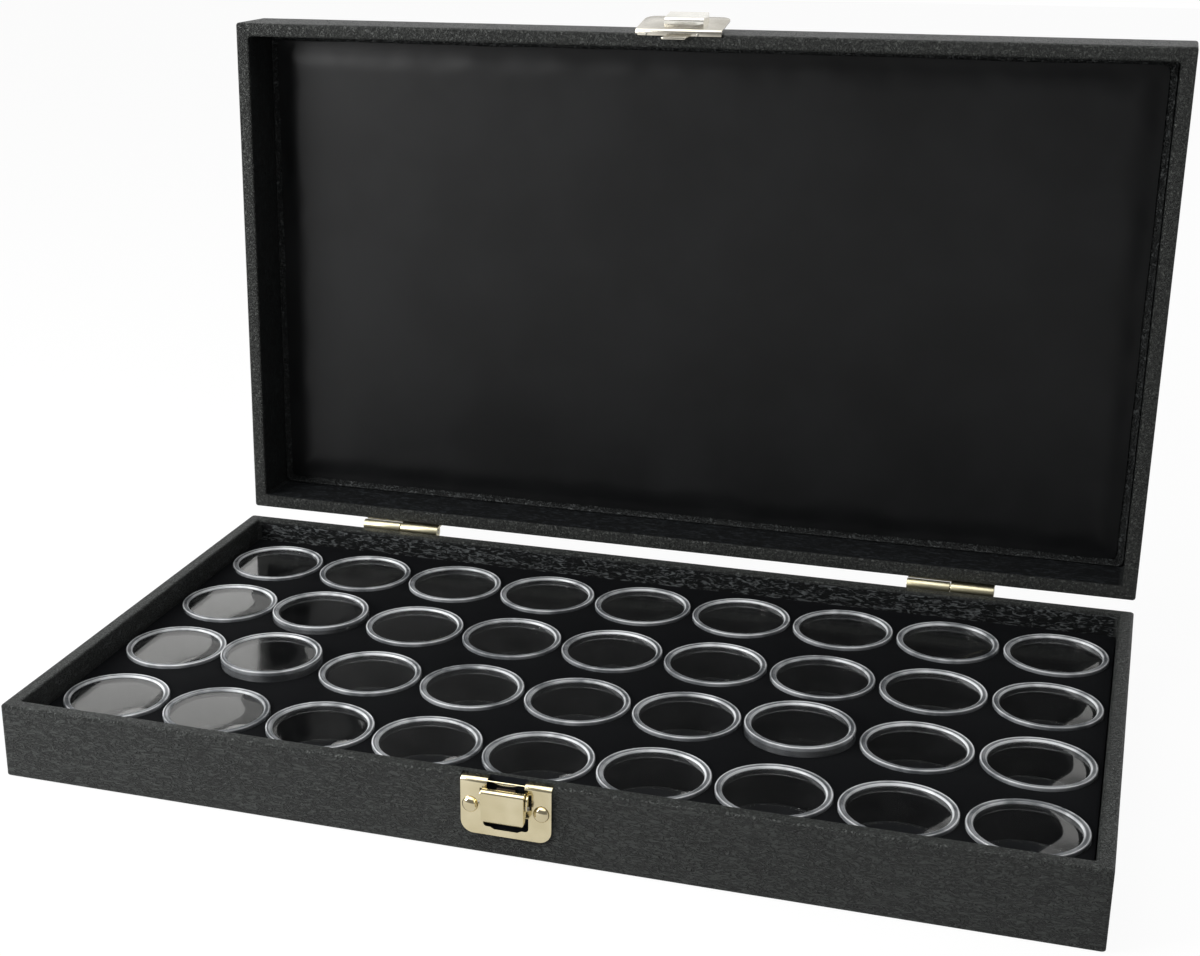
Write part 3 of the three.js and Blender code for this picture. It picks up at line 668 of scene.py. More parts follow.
# Catch, drawn with the rim at z = 0 and the wall's face at y = 0
plateShape = {
    "sheet": 0.7, "gap": 0.3, "halfWidth": 15.45, "bottom": -20.2, "cornerRadius": 4.4,
    "flangeReach": 2.3, "flangeTop": -0.4, "bendRadius": 1.7,
    "mouthHalf": 6.4, "hookWindowBottom": -4.7, "lipEdge": -1.0, "lipMiddle": -1.7, "lipHalf": 4.4,
    "windowHalf": 7.7, "windowTop": -12.2, "windowBottom": -17.1, "windowDip": 0.7, "dipHalf": 3.9,
    "windowRadius": 1.2, "earTop": -3.5, "earBottom": -9.0, "earReach": 3.6, "earInside": 7.4,
    "earRadius": 1.6, "slitWidth": 0.7, "edgeRounding": 0.12,
}
keeperShape = dict(plateShape, halfWidth=16.9, gap=1.0, flangeReach=0.9, bendRadius=1.3, shift=0.9,
                   lift=math.radians(10.5), tongue=(-3.9, 5.9, -1.1, 7.8), tongueFoot=0.8,
                   tongueSlot=(-3.3, 4.8, 2.8, 5.2), bradSpots=(13.4, -6.8), bradDepth=0.3, bradRadius=0.5,
                   bradHeight=0.1)
gripShape = {
    "halfWidth": 7.2, "top": -2.5, "bottom": -14.2, "reach": 4.7, "standOff": 1.3,
    "rollRadius": 1.2, "rollDepth": 1.3, "noseRadius": 2.0, "cornerRadius": 1.8, "heelRise": 1.1,
    "sideRounding": 0.9, "cheekFrom": -9.0, "cheekTo": -12.2, "cheekTaper": 0.0,
}
# outlines and places are pairs of depth and height
leverShape = dict(gripShape, cheekTaper=0.8, barHalf=6.8, hookHalf=3.2, pinRadius=0.8, pinHalf=8.6,
                  barOutline=[(-2.4, -4.7), (-1.6, -4.7), (-1.6, -4.0), (-2.4, -4.0)],
                  hookOutline=[(-2.0, -4.3), (2.55, -4.3), (2.55, -3.8), (-0.3, -2.9), (-2.0, -4.0)],
                  pinPlace=(-2.7, -7.5))
keeperGripShape = dict(gripShape, rollDepth=2.3, halfWidth=7.7, moved=(-0.4, 0, -2.0))
springShape = {"line": [(-1.5, -5.3), (-1.55, -7.5), (-2.4, -9.3), (-3.1, -11.3)], "halfWidth": 3.0,
               "halfSheet": 0.17, "lean": 0.1, "rounding": 0.08}
rivetShape = {"radius": 2.75, "height": 1.75, "edge": 0.1, "shank": 1.1, "shankLow": -3.0, "seat": 0.02,
              "place": (12.1, -1.0, -9.8), "domeSteps": 10, "turnSteps": 40}
pocketShape = {"halfWidth": 7.9, "depth": 3.4, "bottom": -18.3, "mouthDepth": 2.8, "mouthBottom": -2.2,
               # the box of pocket faces that take the black card, as painted shade
               "overrun": 1.0, "flangeSlack": 0.3, "paintedShadePocket": ((-8.2, 0.05, -19), (8.2, 3.6, -0.5))}


def liftedFrame(lift, shape=keeperShape):
    # turns what lies below the plate's bend off the wall
    bend = Vector((0, shape["bendRadius"] - shape["gap"] - shape["sheet"],
                   shape["flangeTop"] - shape["bendRadius"]))
    return Matrix.Translation(bend) @ Matrix.Rotation(-lift, 4, "X") @ Matrix.Translation(-bend)


def bentSheet(name, lift, shape=plateShape):
    # flange, bend and face, cut to the plate's outline; the face leans out by the lift
    back, front = -shape["gap"], -shape["gap"] - shape["sheet"]
    top, bend, reach = shape["flangeTop"], shape["bendRadius"], shape["flangeReach"]
    inside, centre = bend - shape["sheet"], (front + bend, top - bend)
    turn = liftedFrame(lift, shape)
    lower = [turn @ Vector((0, y, shape["bottom"])) for y in (back, front)]
    end = 180 - math.degrees(lift)
    outline = [(reach, top)] + arc(centre, bend, 90, end, 8)
    outline += [(lower[1].y, lower[1].z), (lower[0].y, lower[0].z)]
    outline += arc(centre, inside, end, 90, 5) + [(reach, top - shape["sheet"])]
    half = shape["halfWidth"]
    sheet = prism(name, outline, -half, half, "X")
    face = roundedBox(-half, half, shape["bottom"], 2.0, shape["cornerRadius"], 0, 10)
    keep = prism("keep", face, -5, reach + 1, "Y")
    keep.data.transform(turn)
    return cut(sheet, keep, operation="INTERSECT")


def joined(name, *parts):
    # closed shells as one object, with their faces outwards
    bm = bmesh.new()
    for part in parts:
        bm.from_mesh(part.data)
        bpy.data.objects.remove(part)
    bmesh.ops.recalc_face_normals(bm, faces=bm.faces)
    return meshObject(name, bm)


def uprightBox(left, right, low, high, front, back):
    return prism("box", [(left, low), (right, low), (right, high), (left, high)], front, back, "Y")


def makeCatchPlate(shape=plateShape):
    plate = bentSheet("catch_plate_pressed", 0)
    back, front = -shape["gap"], -shape["gap"] - shape["sheet"] - 1
    mouth, low, edge = shape["mouthHalf"], shape["hookWindowBottom"], shape["lipEdge"]
    tongueSlot = uprightBox(-mouth, mouth, low, 1, back, shape["flangeReach"] + 1)
    # the lip above the hook's window bulges down in its middle
    steps, half, sag = 12, shape["lipHalf"], edge - shape["lipMiddle"]
    lip = [(half * (1 - 2 * step / steps), edge - sag * (1 - (1 - 2 * step / steps) ** 2))
           for step in range(steps + 1)]
    hookWindow = prism("hookWindow", [(-mouth, low), (mouth, low), (mouth, edge), *lip, (-mouth, edge)],
                       front, 1, "Y")
    bottom, dip, half = shape["windowBottom"], shape["windowDip"], shape["dipHalf"]
    side, radius = shape["windowHalf"], shape["windowRadius"]
    window = [(-side, shape["windowTop"])] + arc((-side + radius, bottom + radius), radius, 180, 270, 4)
    window += [(-half - 2 * dip, bottom), (-half, bottom - dip), (half, bottom - dip),
               (half + 2 * dip, bottom)]
    window += arc((side - radius, bottom + radius), radius, 270, 360, 4) + [(side, shape["windowTop"])]
    opening = prism("window", window, front, 1, "Y")
    inner, outer = shape["earInside"], shape["earInside"] + shape["sheet"]
    slits = [uprightBox(*sorted((side * outer, side * (outer + shape["slitWidth"]))),
                        shape["earBottom"], shape["earTop"], front, 0.5) for side in (-1, 1)]
    cut(plate, tongueSlot, hookWindow, opening, *slits)
    rounded(plate, shape["edgeRounding"])
    reach, top, low, radius = (shape[key] for key in ("earReach", "earTop", "earBottom", "earRadius"))
    outline = [(back - 0.1, low), (back - 0.1, top)] + arc((radius - reach, top - radius), radius, 90, 180, 6)
    outline += arc((radius - reach, low + radius), radius, 180, 270, 6)
    ears = [rounded(prism("ear", outline, *sorted((side * inner, side * outer)), "X"),
                    shape["edgeRounding"]) for side in (-1, 1)]
    return joined("catch_plate_pressed", plate, *ears)


def makeGripShell(name, shape):
    sheet, gap = plateShape["sheet"], plateShape["gap"]
    back, front = -gap - shape["standOff"], -gap - shape["reach"]
    top, bottom = shape["top"], shape["bottom"]
    roll, nose, half = shape["rollRadius"], shape["noseRadius"], shape["halfWidth"]
    # the cheeks narrow below, to leave the plate free when the lever is pressed
    narrow = back - shape["cheekTaper"]
    outside = [(narrow, bottom + shape["heelRise"]), (narrow, shape["cheekTo"]),
               (back, shape["cheekFrom"]), (back, top - shape["rollDepth"]),
               (front + roll + shape["rollDepth"], top)]
    outside += arc((front + roll, top - roll), roll, 90, 180, 8)
    outside += arc((front + nose, bottom + nose), nose, 180, 270, 8)
    block = prism(name, outside, -half, half, "X")
    face = prism("face", roundedBox(-half, half, bottom, top, shape["cornerRadius"], 0, 8),
                 front - 1, back + 1, "Y")
    cut(block, face, operation="INTERSECT")
    rounded(block, shape["sideRounding"], 5, 60)
    inner, rollInside, noseInside = front + sheet, roll - sheet, nose - sheet
    hollow = [(back + 1, bottom + shape["heelRise"] + sheet), (back + 1, top + 1),
              (front + roll + shape["rollDepth"], top + 1),
              (front + roll + shape["rollDepth"], top - sheet)]
    hollow += arc((inner + rollInside, top - roll), rollInside, 90, 180, 4)
    hollow += arc((inner + noseInside, bottom + nose), noseInside, 180, 270, 4)
    inside = prism("inside", hollow, -half + sheet, half - sheet, "X")
    return cut(block, inside)


def makeLever(shape=leverShape):
    shell = makeGripShell("catch_lever_pressed", shape)
    bar = prism("bar", shape["barOutline"], -shape["barHalf"], shape["barHalf"], "X")
    hook = prism("hook", shape["hookOutline"], -shape["hookHalf"], shape["hookHalf"], "X")
    return shell, joined("catch_lever_hook", bar, rounded(hook, 0.1, 2, 30))


def barAlongX(name, radius, half, place, steps, rounding):
    outline = arc(place, radius, 0, 360, steps)[:-1]
    return rounded(prism(name, outline, -half, half, "X"), rounding, 3, 50)


def makeRivet(name, side, shape=rivetShape):
    radius, edge, steps = shape["radius"], shape["edge"], shape["domeSteps"]
    shank, seat, height = shape["shank"], shape["seat"], shape["height"]
    profile = [(0, shape["shankLow"]), (shank, shape["shankLow"]), (shank, seat), (radius, seat)]
    turns = [math.pi / 2 * step / steps for step in range(1, steps)]
    profile += [(radius * math.cos(turn), edge + (height - edge) * math.sin(turn)) for turn in turns]
    made = turnedShape(name, profile + [(0, height)], shape["turnSteps"])
    x, y, z = shape["place"]
    made.data.transform(Matrix.Translation((side * x, y, z)) @ Matrix.Rotation(math.pi / 2, 4, "X"))
    return made


def makeSpring(shape=springShape):
    line, half, sheet = shape["line"], shape["halfWidth"], shape["halfSheet"]
    outline = [(y + sheet, z) for y, z in line]
    outline += [(y - sheet, z - shape["lean"]) for y, z in reversed(line)]
    return rounded(prism("catch_spring_leaf", outline, -half, half, "X"), shape["rounding"], 1, 20)


def makeKeeperPlate(shape=keeperShape):
    plate = bentSheet("keeper_plate_pressed", shape["lift"], shape)
    rounded(plate, shape["edgeRounding"])
    plate.data.transform(Matrix.Translation((shape["shift"], 0, 0)))
    foot = shape["tongueFoot"]
    tongue = prism("tongue", roundedBox(*shape["tongue"], 0, 1.0, 6), foot, foot + shape["sheet"], "Y")
    slot = prism("slot", roundedBox(*shape["tongueSlot"], 0.3, 0.3, 3), 0, 3, "Y")
    return joined("keeper_plate_pressed", plate, rounded(cut(tongue, slot), 0.1))


def makeKeeperGrip(shape=keeperGripShape):
    grip = makeGripShell("keeper_grip_pressed", shape)
    grip.data.transform(liftedFrame(keeperShape["lift"]) @ Matrix.Translation(shape["moved"]))
    return grip


# Hinges: one rolled leaf on each tray, on a pin, drawn about the barrel's axis
hingeShape = {
    "half": 17.0, "setback": 2.8, "leafFront": 0.3, "leafBack": 1.1, "leafBottom": -12.0, "leafTop": -2.6,
    "cornerRadius": 1.5, "barrelRadius": 2.4, "boreRadius": 1.1, "knuckleGap": 0.3, "pinRadius": 0.9,
    "spacing": 234.4, "edgeRounding": 0.12, "nailRadius": 1.5, "nailHeight": 0.55,
    "nailSpots": ((-12.0, -7.3), (0.0, -5.7), (12.0, -7.3)),
    "neck": ((0.0, -4.4), (0.0, -3.2), (0.12, -2.2), (0.36, -1.2)), "roll": (196, -120, 24),
}


def makeHingeLeaf(name, shape=hingeShape):
    outer, bore, half = shape["barrelRadius"], shape["boreRadius"], shape["half"]
    thick, rounding = (outer - bore) / 2, shape["edgeRounding"]
    leafMiddle = (shape["leafFront"] + shape["leafBack"]) / 2
    line = [(leafMiddle + y, z) for y, z in shape["neck"]]
    line += arc((shape["setback"], 0), (outer + bore) / 2, *shape["roll"])
    near, far = [], []
    for i, (y, z) in enumerate(line):
        before, after = line[max(0, i - 1)], line[min(len(line) - 1, i + 1)]
        along = Vector((after[0] - before[0], after[1] - before[1])).normalized() * thick
        near.append((y - along.y, z + along.x))
        far.append((y + along.y, z - along.x))
    knuckle = prism("knuckle", near + far[::-1], -half, -shape["knuckleGap"] / 2, "X")
    leaf = prism("leaf", roundedBox(-half, half, shape["leafBottom"], shape["leafTop"],
                                    shape["cornerRadius"], 0, 6),
                 shape["leafFront"], shape["leafBack"], "Y")
    return joined(name, rounded(knuckle, rounding, 2, 50), rounded(leaf, rounding, 2, 50))


def newTree(name, inputs):
    # a geometry tree with named inputs, and its inputs as fields
    tree = bpy.data.node_groups.new(name, "GeometryNodeTree")
    for label, kind in inputs.items():
        tree.interface.new_socket(label, in_out="INPUT", socket_type="NodeSocket" + kind)
    tree.interface.new_socket("Geometry", in_out="OUTPUT", socket_type="NodeSocketGeometry")
    graph = Graph(tree)
    return graph, {label: graph.node("NodeGroupInput", output=label) for label in inputs}


def endTree(graph, geometry, material):
    real = graph.node("GeometryNodeRealizeInstances", {}, {"Geometry": geometry})
    finished = graph.node("GeometryNodeSetMaterial", {}, {"Geometry": real, "Material": material})
    graph.fill(graph.tree.nodes.new("NodeGroupOutput"), [finished])
    return graph.tree


def nailTree(material):
    # a flattened ball on each point, turned to face one way
    graph, value = newTree("nailHeads", {"Geometry": "Geometry", "Radius": "Float", "Height": "Float",
                                         "Facing": "Vector"})
    ball = graph.node("GeometryNodeMeshUVSphere", {}, {"Segments": 24, "Rings": 14, "Radius": 1.0})
    size = graph.vector(X=value["Radius"], Y=value["Radius"], Z=value["Height"])
    turn = graph.node("FunctionNodeAlignRotationToVector", {"axis": "Z"}, {"Vector": value["Facing"]})
    heads = graph.node("GeometryNodeInstanceOnPoints", {}, {
        "Points": value["Geometry"], "Instance": ball, "Rotation": turn, "Scale": size})
    return endTree(graph, heads, material)


def runTree(made, tree, inputs):
    modifier = made.modifiers.new("nodes", "NODES")
    modifier.node_group = tree
    for item in tree.interface.items_tree:
        if item.in_out == "INPUT" and item.name in inputs:
            modifier[item.identifier] = inputs[item.name]
    return baked(made)


def makeNails(name, spots, facing, radius, height):
    bm = bmesh.new()
    for spot in spots:
        bm.verts.new(spot)
    return runTree(meshObject(name, bm), nailHeads, {"Radius": radius, "Height": height, "Facing": facing})


nailHeads = nailTree(finishes["steel"])


# Foam insert: a slab with its grid of round holes
foamShape = {
    "Length": 362.85, "Depth": 197.75, "Thickness": 14.1, "Bottom": 4.5, "Columns": 9, "Rows": 4,
    "Column Pitch": 40.2, "Row Pitch": 47.5, "Setback": 1.5, "Hole Radius": 19.55, "Corner Radius": 1.6,
}
foamEdge = 0.35


def foamTree(material):
    # the inputs are foamShape's own keys
    kinds = {label: "Int" if isinstance(size, int) else "Float" for label, size in foamShape.items()}
    graph, value = newTree("foamSlab", {"Geometry": "Geometry", **kinds})
    grid = graph.node("GeometryNodeMeshGrid", {}, {
        "Size X": value["Column Pitch"] * (value["Columns"] - 1), "Vertices X": value["Columns"],
        "Size Y": value["Row Pitch"] * (value["Rows"] - 1), "Vertices Y": value["Rows"]})
    shifted = graph.node("GeometryNodeTransform", {}, {
        "Geometry": grid, "Translation": graph.vector(Y=value["Setback"])})
    circle = graph.node("GeometryNodeCurvePrimitiveCircle", {"mode": "RADIUS"}, {
        "Resolution": 64, "Radius": value["Hole Radius"]})
    holes = graph.node("GeometryNodeInstanceOnPoints", {}, {"Points": shifted, "Instance": circle})
    realHoles = graph.node("GeometryNodeRealizeInstances", {}, {"Geometry": holes})
    edge = graph.node("GeometryNodeCurvePrimitiveQuadrilateral", {"mode": "RECTANGLE"}, {
        "Width": value["Length"], "Height": value["Depth"]})
    soft = graph.node("GeometryNodeFilletCurve", {"mode": "POLY"}, {
        "Curve": edge, "Count": 6, "Radius": value["Corner Radius"]})
    flat = graph.node("GeometryNodeFillCurve", {"mode": "TRIANGLES"}, {
        "Curve": graph.gathered(realHoles, soft)})
    raised = graph.node("GeometryNodeExtrudeMesh", {"mode": "FACES"}, {
        "Mesh": flat, "Offset": graph.vector(Z=1.0), "Offset Scale": value["Thickness"],
        "Individual": False})
    under = graph.node("GeometryNodeFlipFaces", {}, {"Mesh": flat})
    merged = graph.node("GeometryNodeMergeByDistance", {}, {
        "Geometry": graph.gathered(raised, under), "Distance": 0.001})
    lifted = graph.node("GeometryNodeTransform", {}, {
        "Geometry": merged, "Translation": graph.vector(Z=value["Bottom"])})
    return endTree(graph, lifted, material)


def makeFoamSlab():
    slab = runTree(meshObject("foamPattern", bmesh.new()), foamTree(finishes["foam"]), foamShape)
    return rounded(joined("foam_slab", slab), foamEdge, 2, 50)


# Jars: a clear cup, and a clear lid whose slightly domed window sits inside a raised ring
jarShape = {
    "cupRadius": 18.1, "cupWall": 1.3, "cupFloor": 1.2, "cupTop": 13.7,
    "lidRadius": 19.3, "lidTop": 15.3, "windowThickness": 0.9, "skirtBottom": 11.2, "skirtInside": 18.35,
    "ringInside": 16.95, "ringRise": 0.75, "edgeRounding": 0.5, "ridge": 0.28, "dome": 0.12,
    "domeSteps": 8, "turnSteps": 72,
}


def cupProfile(shape=jarShape):
    r, wall, top, floor = shape["cupRadius"], shape["cupWall"], shape["cupTop"], shape["cupFloor"]
    return [(0, 0), (r - 1.6, 0), (r - 1.3, 0.15), (r - 0.35, 0.5), (r, 1.1), (r, top - 0.25),
            (r - 0.25, top), (r - wall + 0.25, top), (r - wall, top - 0.25), (r - wall, floor + 0.9),
            (r - wall - 0.3, floor + 0.25), (r - wall - 0.9, floor), (0, floor)]


def lidProfile(shape=jarShape):
    r, top, edge, ring = (shape[key] for key in ("lidRadius", "lidTop", "edgeRounding", "ringInside"))
    skirt, foot, ridge, steps = (shape[key] for key in ("skirtInside", "skirtBottom", "ridge", "domeSteps"))
    window = top - shape["ringRise"]
    under = window - shape["windowThickness"]
    domed = [(ring * step / steps, shape["dome"] * (1 - (step / steps) ** 2)) for step in range(steps + 1)]
    profile = [(x, under + z) for x, z in domed]
    profile += [(ring + 0.5, under - 0.15), (skirt - 0.3, top - 1.8), (skirt, top - 2.2),
                (skirt, foot + 0.15), (skirt + 0.15, foot), (r - 0.2, foot), (r, foot + 0.2),
                (r, top - edge)]
    profile += arc((r - edge, top - edge), edge, 15, 90, 4)
    # two ridges with a groove between them
    groove = (ring + 0.75 + r - edge) / 2
    profile += [(groove + 0.45, top - 0.04), (groove + 0.2, top - ridge), (groove - 0.15, top - ridge),
                (groove - 0.4, top - 0.1), (ring + 0.55, top - 0.06), (ring + 0.3, top - 0.16),
                (ring + 0.12, top - 0.4)]
    return profile + [(x, window + z) for x, z in reversed(domed)]


def profileNotes(made):
    # each point keeps its distance from the jar's axis, its height and its place across it
    places = [vertex.co for vertex in made.data.vertices]
    notes = {"radius": [math.hypot(v.x, v.y) for v in places], "height": [v.z for v in places],
             "across": [v.x for v in places]}
    for name, values in notes.items():
        made.data.attributes.new(name, "FLOAT", "POINT").data.foreach_set("value", values)


def makeJars():
    patterns = {"cup": turnedShape("cupPattern", cupProfile(), jarShape["turnSteps"]),
                "lid": turnedShape("lidPattern", lidProfile(), jarShape["turnSteps"])}
    profileNotes(patterns["lid"])
    for number in range(foamShape["Rows"] * foamShape["Columns"]):
        row, column = divmod(number, foamShape["Columns"])
        node = f"jar_r{row + 1}_c{column + 1}"
        low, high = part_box(node)
        spot = Matrix.Translation(((low.x + high.x) / 2, (low.y + high.y) / 2, low.z)) @ toMetres
        for part, finish, replaced in (("cup", "clearCup", ()), ("lid", "clearLid", (node,))):
            made = bpy.data.objects.new(f"{node}_{part}", patterns[part].data.copy())
            scene.collection.objects.link(made)
            placed(made, spot, finish, f"{node}_body", replaced, 50)
    for pattern in patterns.values():
        bpy.data.objects.remove(pattern)


# Lining pad: flat back, softly rolled and slightly puckered edge, inside the wrap's turned-in margin
liningShape = {
    "halfLength": 181.6, "halfDepth": 99.05, "margin": 2.8, "marginThickness": 0.85, "bead": 0.3,
    "edgeThickness": 0.85, "thickness": 2.1, "roll": 12.0, "rollSway": 0.35, "cornerRadius": 2.5,
    "spacing": 2.4, "pucker": 0.3, "sag": 0.12, "wander": 0.5, "wanderReach": 6.0, "backGap": 0.3,
    "marginUnder": 2.0, "marginSway": 0.22, "marginGap": 0.02, "step": 4.0,
}


def makeLiningPad(shape=liningShape):
    thin, thick = shape["edgeThickness"], shape["thickness"]
    halfX, halfY = (shape[key] - shape["margin"] for key in ("halfLength", "halfDepth"))
    columns, rows = round(2 * halfX / shape["spacing"]), round(2 * halfY / shape["spacing"])
    back = -caseSizes["lidHeight"] + caseSizes["board"] + shape["backGap"]
    corner = shape["cornerRadius"]
    bm = bmesh.new()

    def eased(share):
        # closer rows of points towards the edges
        return math.sin(share * math.pi / 2) * 0.35 + share * 0.65

    def cornered(x, y):
        # points near a corner are drawn in to its radius
        overX, overY = abs(x) - halfX + corner, abs(y) - halfY + corner
        if overX <= 0 or overY <= 0:
            return x, y
        square, circle = max(overX, overY), math.hypot(overX, overY)
        return tuple(math.copysign(half - corner + over * square / circle, value)
                     for half, over, value in ((halfX, overX, x), (halfY, overY, y)))

    grid = []
    for j in range(rows + 1):
        line = []
        for i in range(columns + 1):
            x, y = halfX * eased(2 * i / columns - 1), halfY * eased(2 * j / rows - 1)
            edge = min(halfX - abs(x), halfY - abs(y))
            along = y if halfX - abs(x) < halfY - abs(y) else x
            sway = noise.noise(Vector((along * 0.06, x * 0.01, y * 0.01)))
            rollNow = shape["roll"] * (1 + shape["rollSway"] * sway)
            share = min(1.0, max(0.0, edge / rollNow))
            rise = thin + (thick - thin) * share * share * (3 - 2 * share)
            puckers = shape["pucker"] * noise.noise(Vector((along * 0.16, edge * 0.05, 3.3)))
            rise -= abs(puckers) * math.exp(-edge / 9.0) * (share > 0.15)
            rise -= shape["sag"] * (0.5 + 0.5 * noise.noise(Vector((x * 0.012, y * 0.012, 9.1))))
            inward = shape["wander"] * noise.noise(Vector((along * 0.035, 4.4, 0.0))) * math.exp(-edge / 4.0)
            drawnX, drawnY = cornered(x, y)
            drawnX -= math.copysign(inward, x) * (halfX - abs(x) < shape["wanderReach"])
            drawnY -= math.copysign(inward, y) * (halfY - abs(y) < shape["wanderReach"])
            line.append(bm.verts.new((drawnX, drawnY, back + max(0.08, rise))))
        grid.append(line)
    for j in range(rows):
        for i in range(columns):
            bm.faces.new((grid[j][i], grid[j][i + 1], grid[j + 1][i + 1], grid[j + 1][i]))
    border = [grid[0][i] for i in range(columns)] + [grid[j][columns] for j in range(rows)]
    border += [grid[rows][i] for i in range(columns, 0, -1)] + [grid[j][0] for j in range(rows, 0, -1)]
    lower = [bm.verts.new((v.co.x, v.co.y, back)) for v in border]
    for i in range(len(border)):
        j = (i + 1) % len(border)
        bm.faces.new((border[i], lower[i], lower[j], border[j]))
    bm.faces.new(list(reversed(lower)))
    bmesh.ops.recalc_face_normals(bm, faces=bm.faces)
    return meshObject("lid_lining_pad", bm)


def makeLidMargin(shape=liningShape):
    # a flat band round the lid's floor with a small bead where it meets the walls
    back = -caseSizes["lidHeight"] + caseSizes["board"] + shape["marginGap"]
    thick, bead, wide = shape["marginThickness"], shape["bead"], shape["margin"] + shape["marginUnder"]
    profile = [(0, 0), (0, thick + bead * 0.4)] + arc((bead, thick), bead, 150, 30, 4)
    profile += [(2 * bead + 0.2, thick - 0.1), (wide - 0.6, thick - 0.2), (wide, thick - 0.6), (wide, 0)]
    corner = caseSizes["innerRadius"]
    middles = [Vector((signX * (shape["halfLength"] - corner), signY * (shape["halfDepth"] - corner)))
               for signX, signY, _ in quarters]
    path = []
    for middle, last, (_, _, start) in zip(middles, middles[1:] + middles[:1], quarters):
        path += [(middle, Vector(spot), True) for spot in arc((0, 0), 1, start, start + 90, 4)]
        along, clear = (last - middle).normalized(), wide - corner
        length = (last - middle).length - 2 * clear
        count = round(length / shape["step"])
        path += [(middle + along * (clear + length * step / count), path[-1][1], False)
                 for step in range(count + 1)]
    rings = []
    for middle, outward, turning in path:
        ring = []
        for depth, rise in profile:
            spot = middle + outward * (corner - depth)
            if turning and depth > corner:
                spot = middle - Vector([math.copysign(depth - corner, value) for value in middle])
            sway = noise.noise(Vector((spot.x * 0.05, spot.y * 0.05, 2.0 + depth * 0.2)))
            ring.append((spot.x, spot.y, back + rise * (1 + shape["marginSway"] * sway)))
        rings.append(ring)
    return skinned("lid_turned_in_margin", rings, True, 0.002)


# Trays: the base has the catch's pocket in its front wall, and both have a notch for the plate's flange
frontPlace = -caseSizes["halfDepth"]
pocketHalf, pocketOut = pocketShape["halfWidth"], frontPlace - pocketShape["overrun"]
pocket = uprightBox(-pocketHalf, pocketHalf, pocketShape["bottom"], pocketShape["mouthBottom"], pocketOut,
                    frontPlace + pocketShape["depth"])
mouthHalf = plateShape["mouthHalf"]
pocketMouth = uprightBox(-mouthHalf, mouthHalf, pocketShape["bottom"], 1, pocketOut,
                         frontPlace + pocketShape["mouthDepth"])
slack = pocketShape["flangeSlack"]
notchLow = plateShape["flangeTop"] - plateShape["sheet"] - slack
baseNotch, lidNotch = [
    uprightBox(-shape["halfWidth"] - slack, shape["halfWidth"] + slack, notchLow, 1, pocketOut,
               frontPlace + shape["flangeReach"] + slack) for shape in (plateShape, keeperShape)]
baseShell = makeTray("base_tray_wrapped", caseSizes["baseHeight"], trayShape["baseSeed"])
cut(baseShell, pocket, pocketMouth, baseNotch)
placed(baseShell, baseFrame, "baseGrain", "base",
       ("base_front_wall", "base_back_wall", "base_left_wall", "base_right_wall", "base_bottom_panel"))
# the pocket's walls take the near-black card finish: painted shade inside the catch's pocket
baseShell.data.materials.append(finishes["card"])
pocketLow, pocketHigh = ((x, frontPlace + y, z) for x, y, z in pocketShape["paintedShadePocket"])
inTray = baseFrame.inverted()
for polygon in baseShell.data.polygons:
    spot = inTray @ polygon.center
    if all(low < value < high for low, value, high in zip(pocketLow, spot, pocketHigh)):
        polygon.material_index = 1
lidShell = cut(makeTray("lid_tray_wrapped", caseSizes["lidHeight"], trayShape["lidSeed"]), lidNotch)
placed(lidShell, lidFrame, "lidGrain", "lid", ("lid_wall_frame", "lid_top_panel"))
print("trays made")

# Lining, insert and jars
lining = placed(makeLiningPad(), lidFrame, "lining", "lid", ("lid_lining_panel",))
placed(makeLidMargin(), lidFrame, "marginGrain", "lid")
foam = placed(makeFoamSlab(), toMetres, "foam", "insert", ("foam_insert",))
backingCard = frame["nodes"]["insert_backing_card"].data
backingCard.materials.clear()
backingCard.materials.append(finishes["card"])
makeJars()
print("insert and jars made")

# Catch and keeper
atFront = Matrix.Translation((0, frontPlace, 0))
onBase, onLid = baseFrame @ atFront, lidFrame @ atFront
placed(makeCatchPlate(), onBase, "nickel", "base", ("catch_plate",))
lever, hook = makeLever()
placed(lever, onBase, "nickel", "catch_lever_body", ("catch_lever",))
# the hook takes the darker steel copy: painted shade inside the pocket
placed(hook, onBase, "paintedShadeSteel", "catch_lever_body")
leverPin = barAlongX("catch_lever_pin_bar", leverShape["pinRadius"], leverShape["pinHalf"],
                     leverShape["pinPlace"], 32, 0.25)
placed(leverPin, onBase, "steel", "base", ("catch_lever_pin",))
placed(makeSpring(), onBase, "steel", "base", ("catch_spring",))
for side, name in ((-1, "left"), (1, "right")):
    rivet = makeRivet(f"catch_rivet_{name}_domed", side)
    placed(rivet, onBase, "polished", "base", (f"catch_rivet_{name}",))
# keeper plate and grip take the paler nickel copies: painted reflection
placed(makeKeeperPlate(), onLid, "keeperNickelPaintedReflection", "lid", ("keeper_plate",))
bradSpots = [(x, keeperShape["bradDepth"], keeperShape["flangeTop"]) for x in keeperShape["bradSpots"]]
brads = makeNails("keeper_brads", bradSpots, (0, 0, 1), keeperShape["bradRadius"],
                  keeperShape["bradHeight"])
placed(brads, onLid, "steel", "lid")
placed(makeKeeperGrip(), onLid, "gripNickelPaintedReflection", "lid", ("keeper_grip",))
print("catch made")

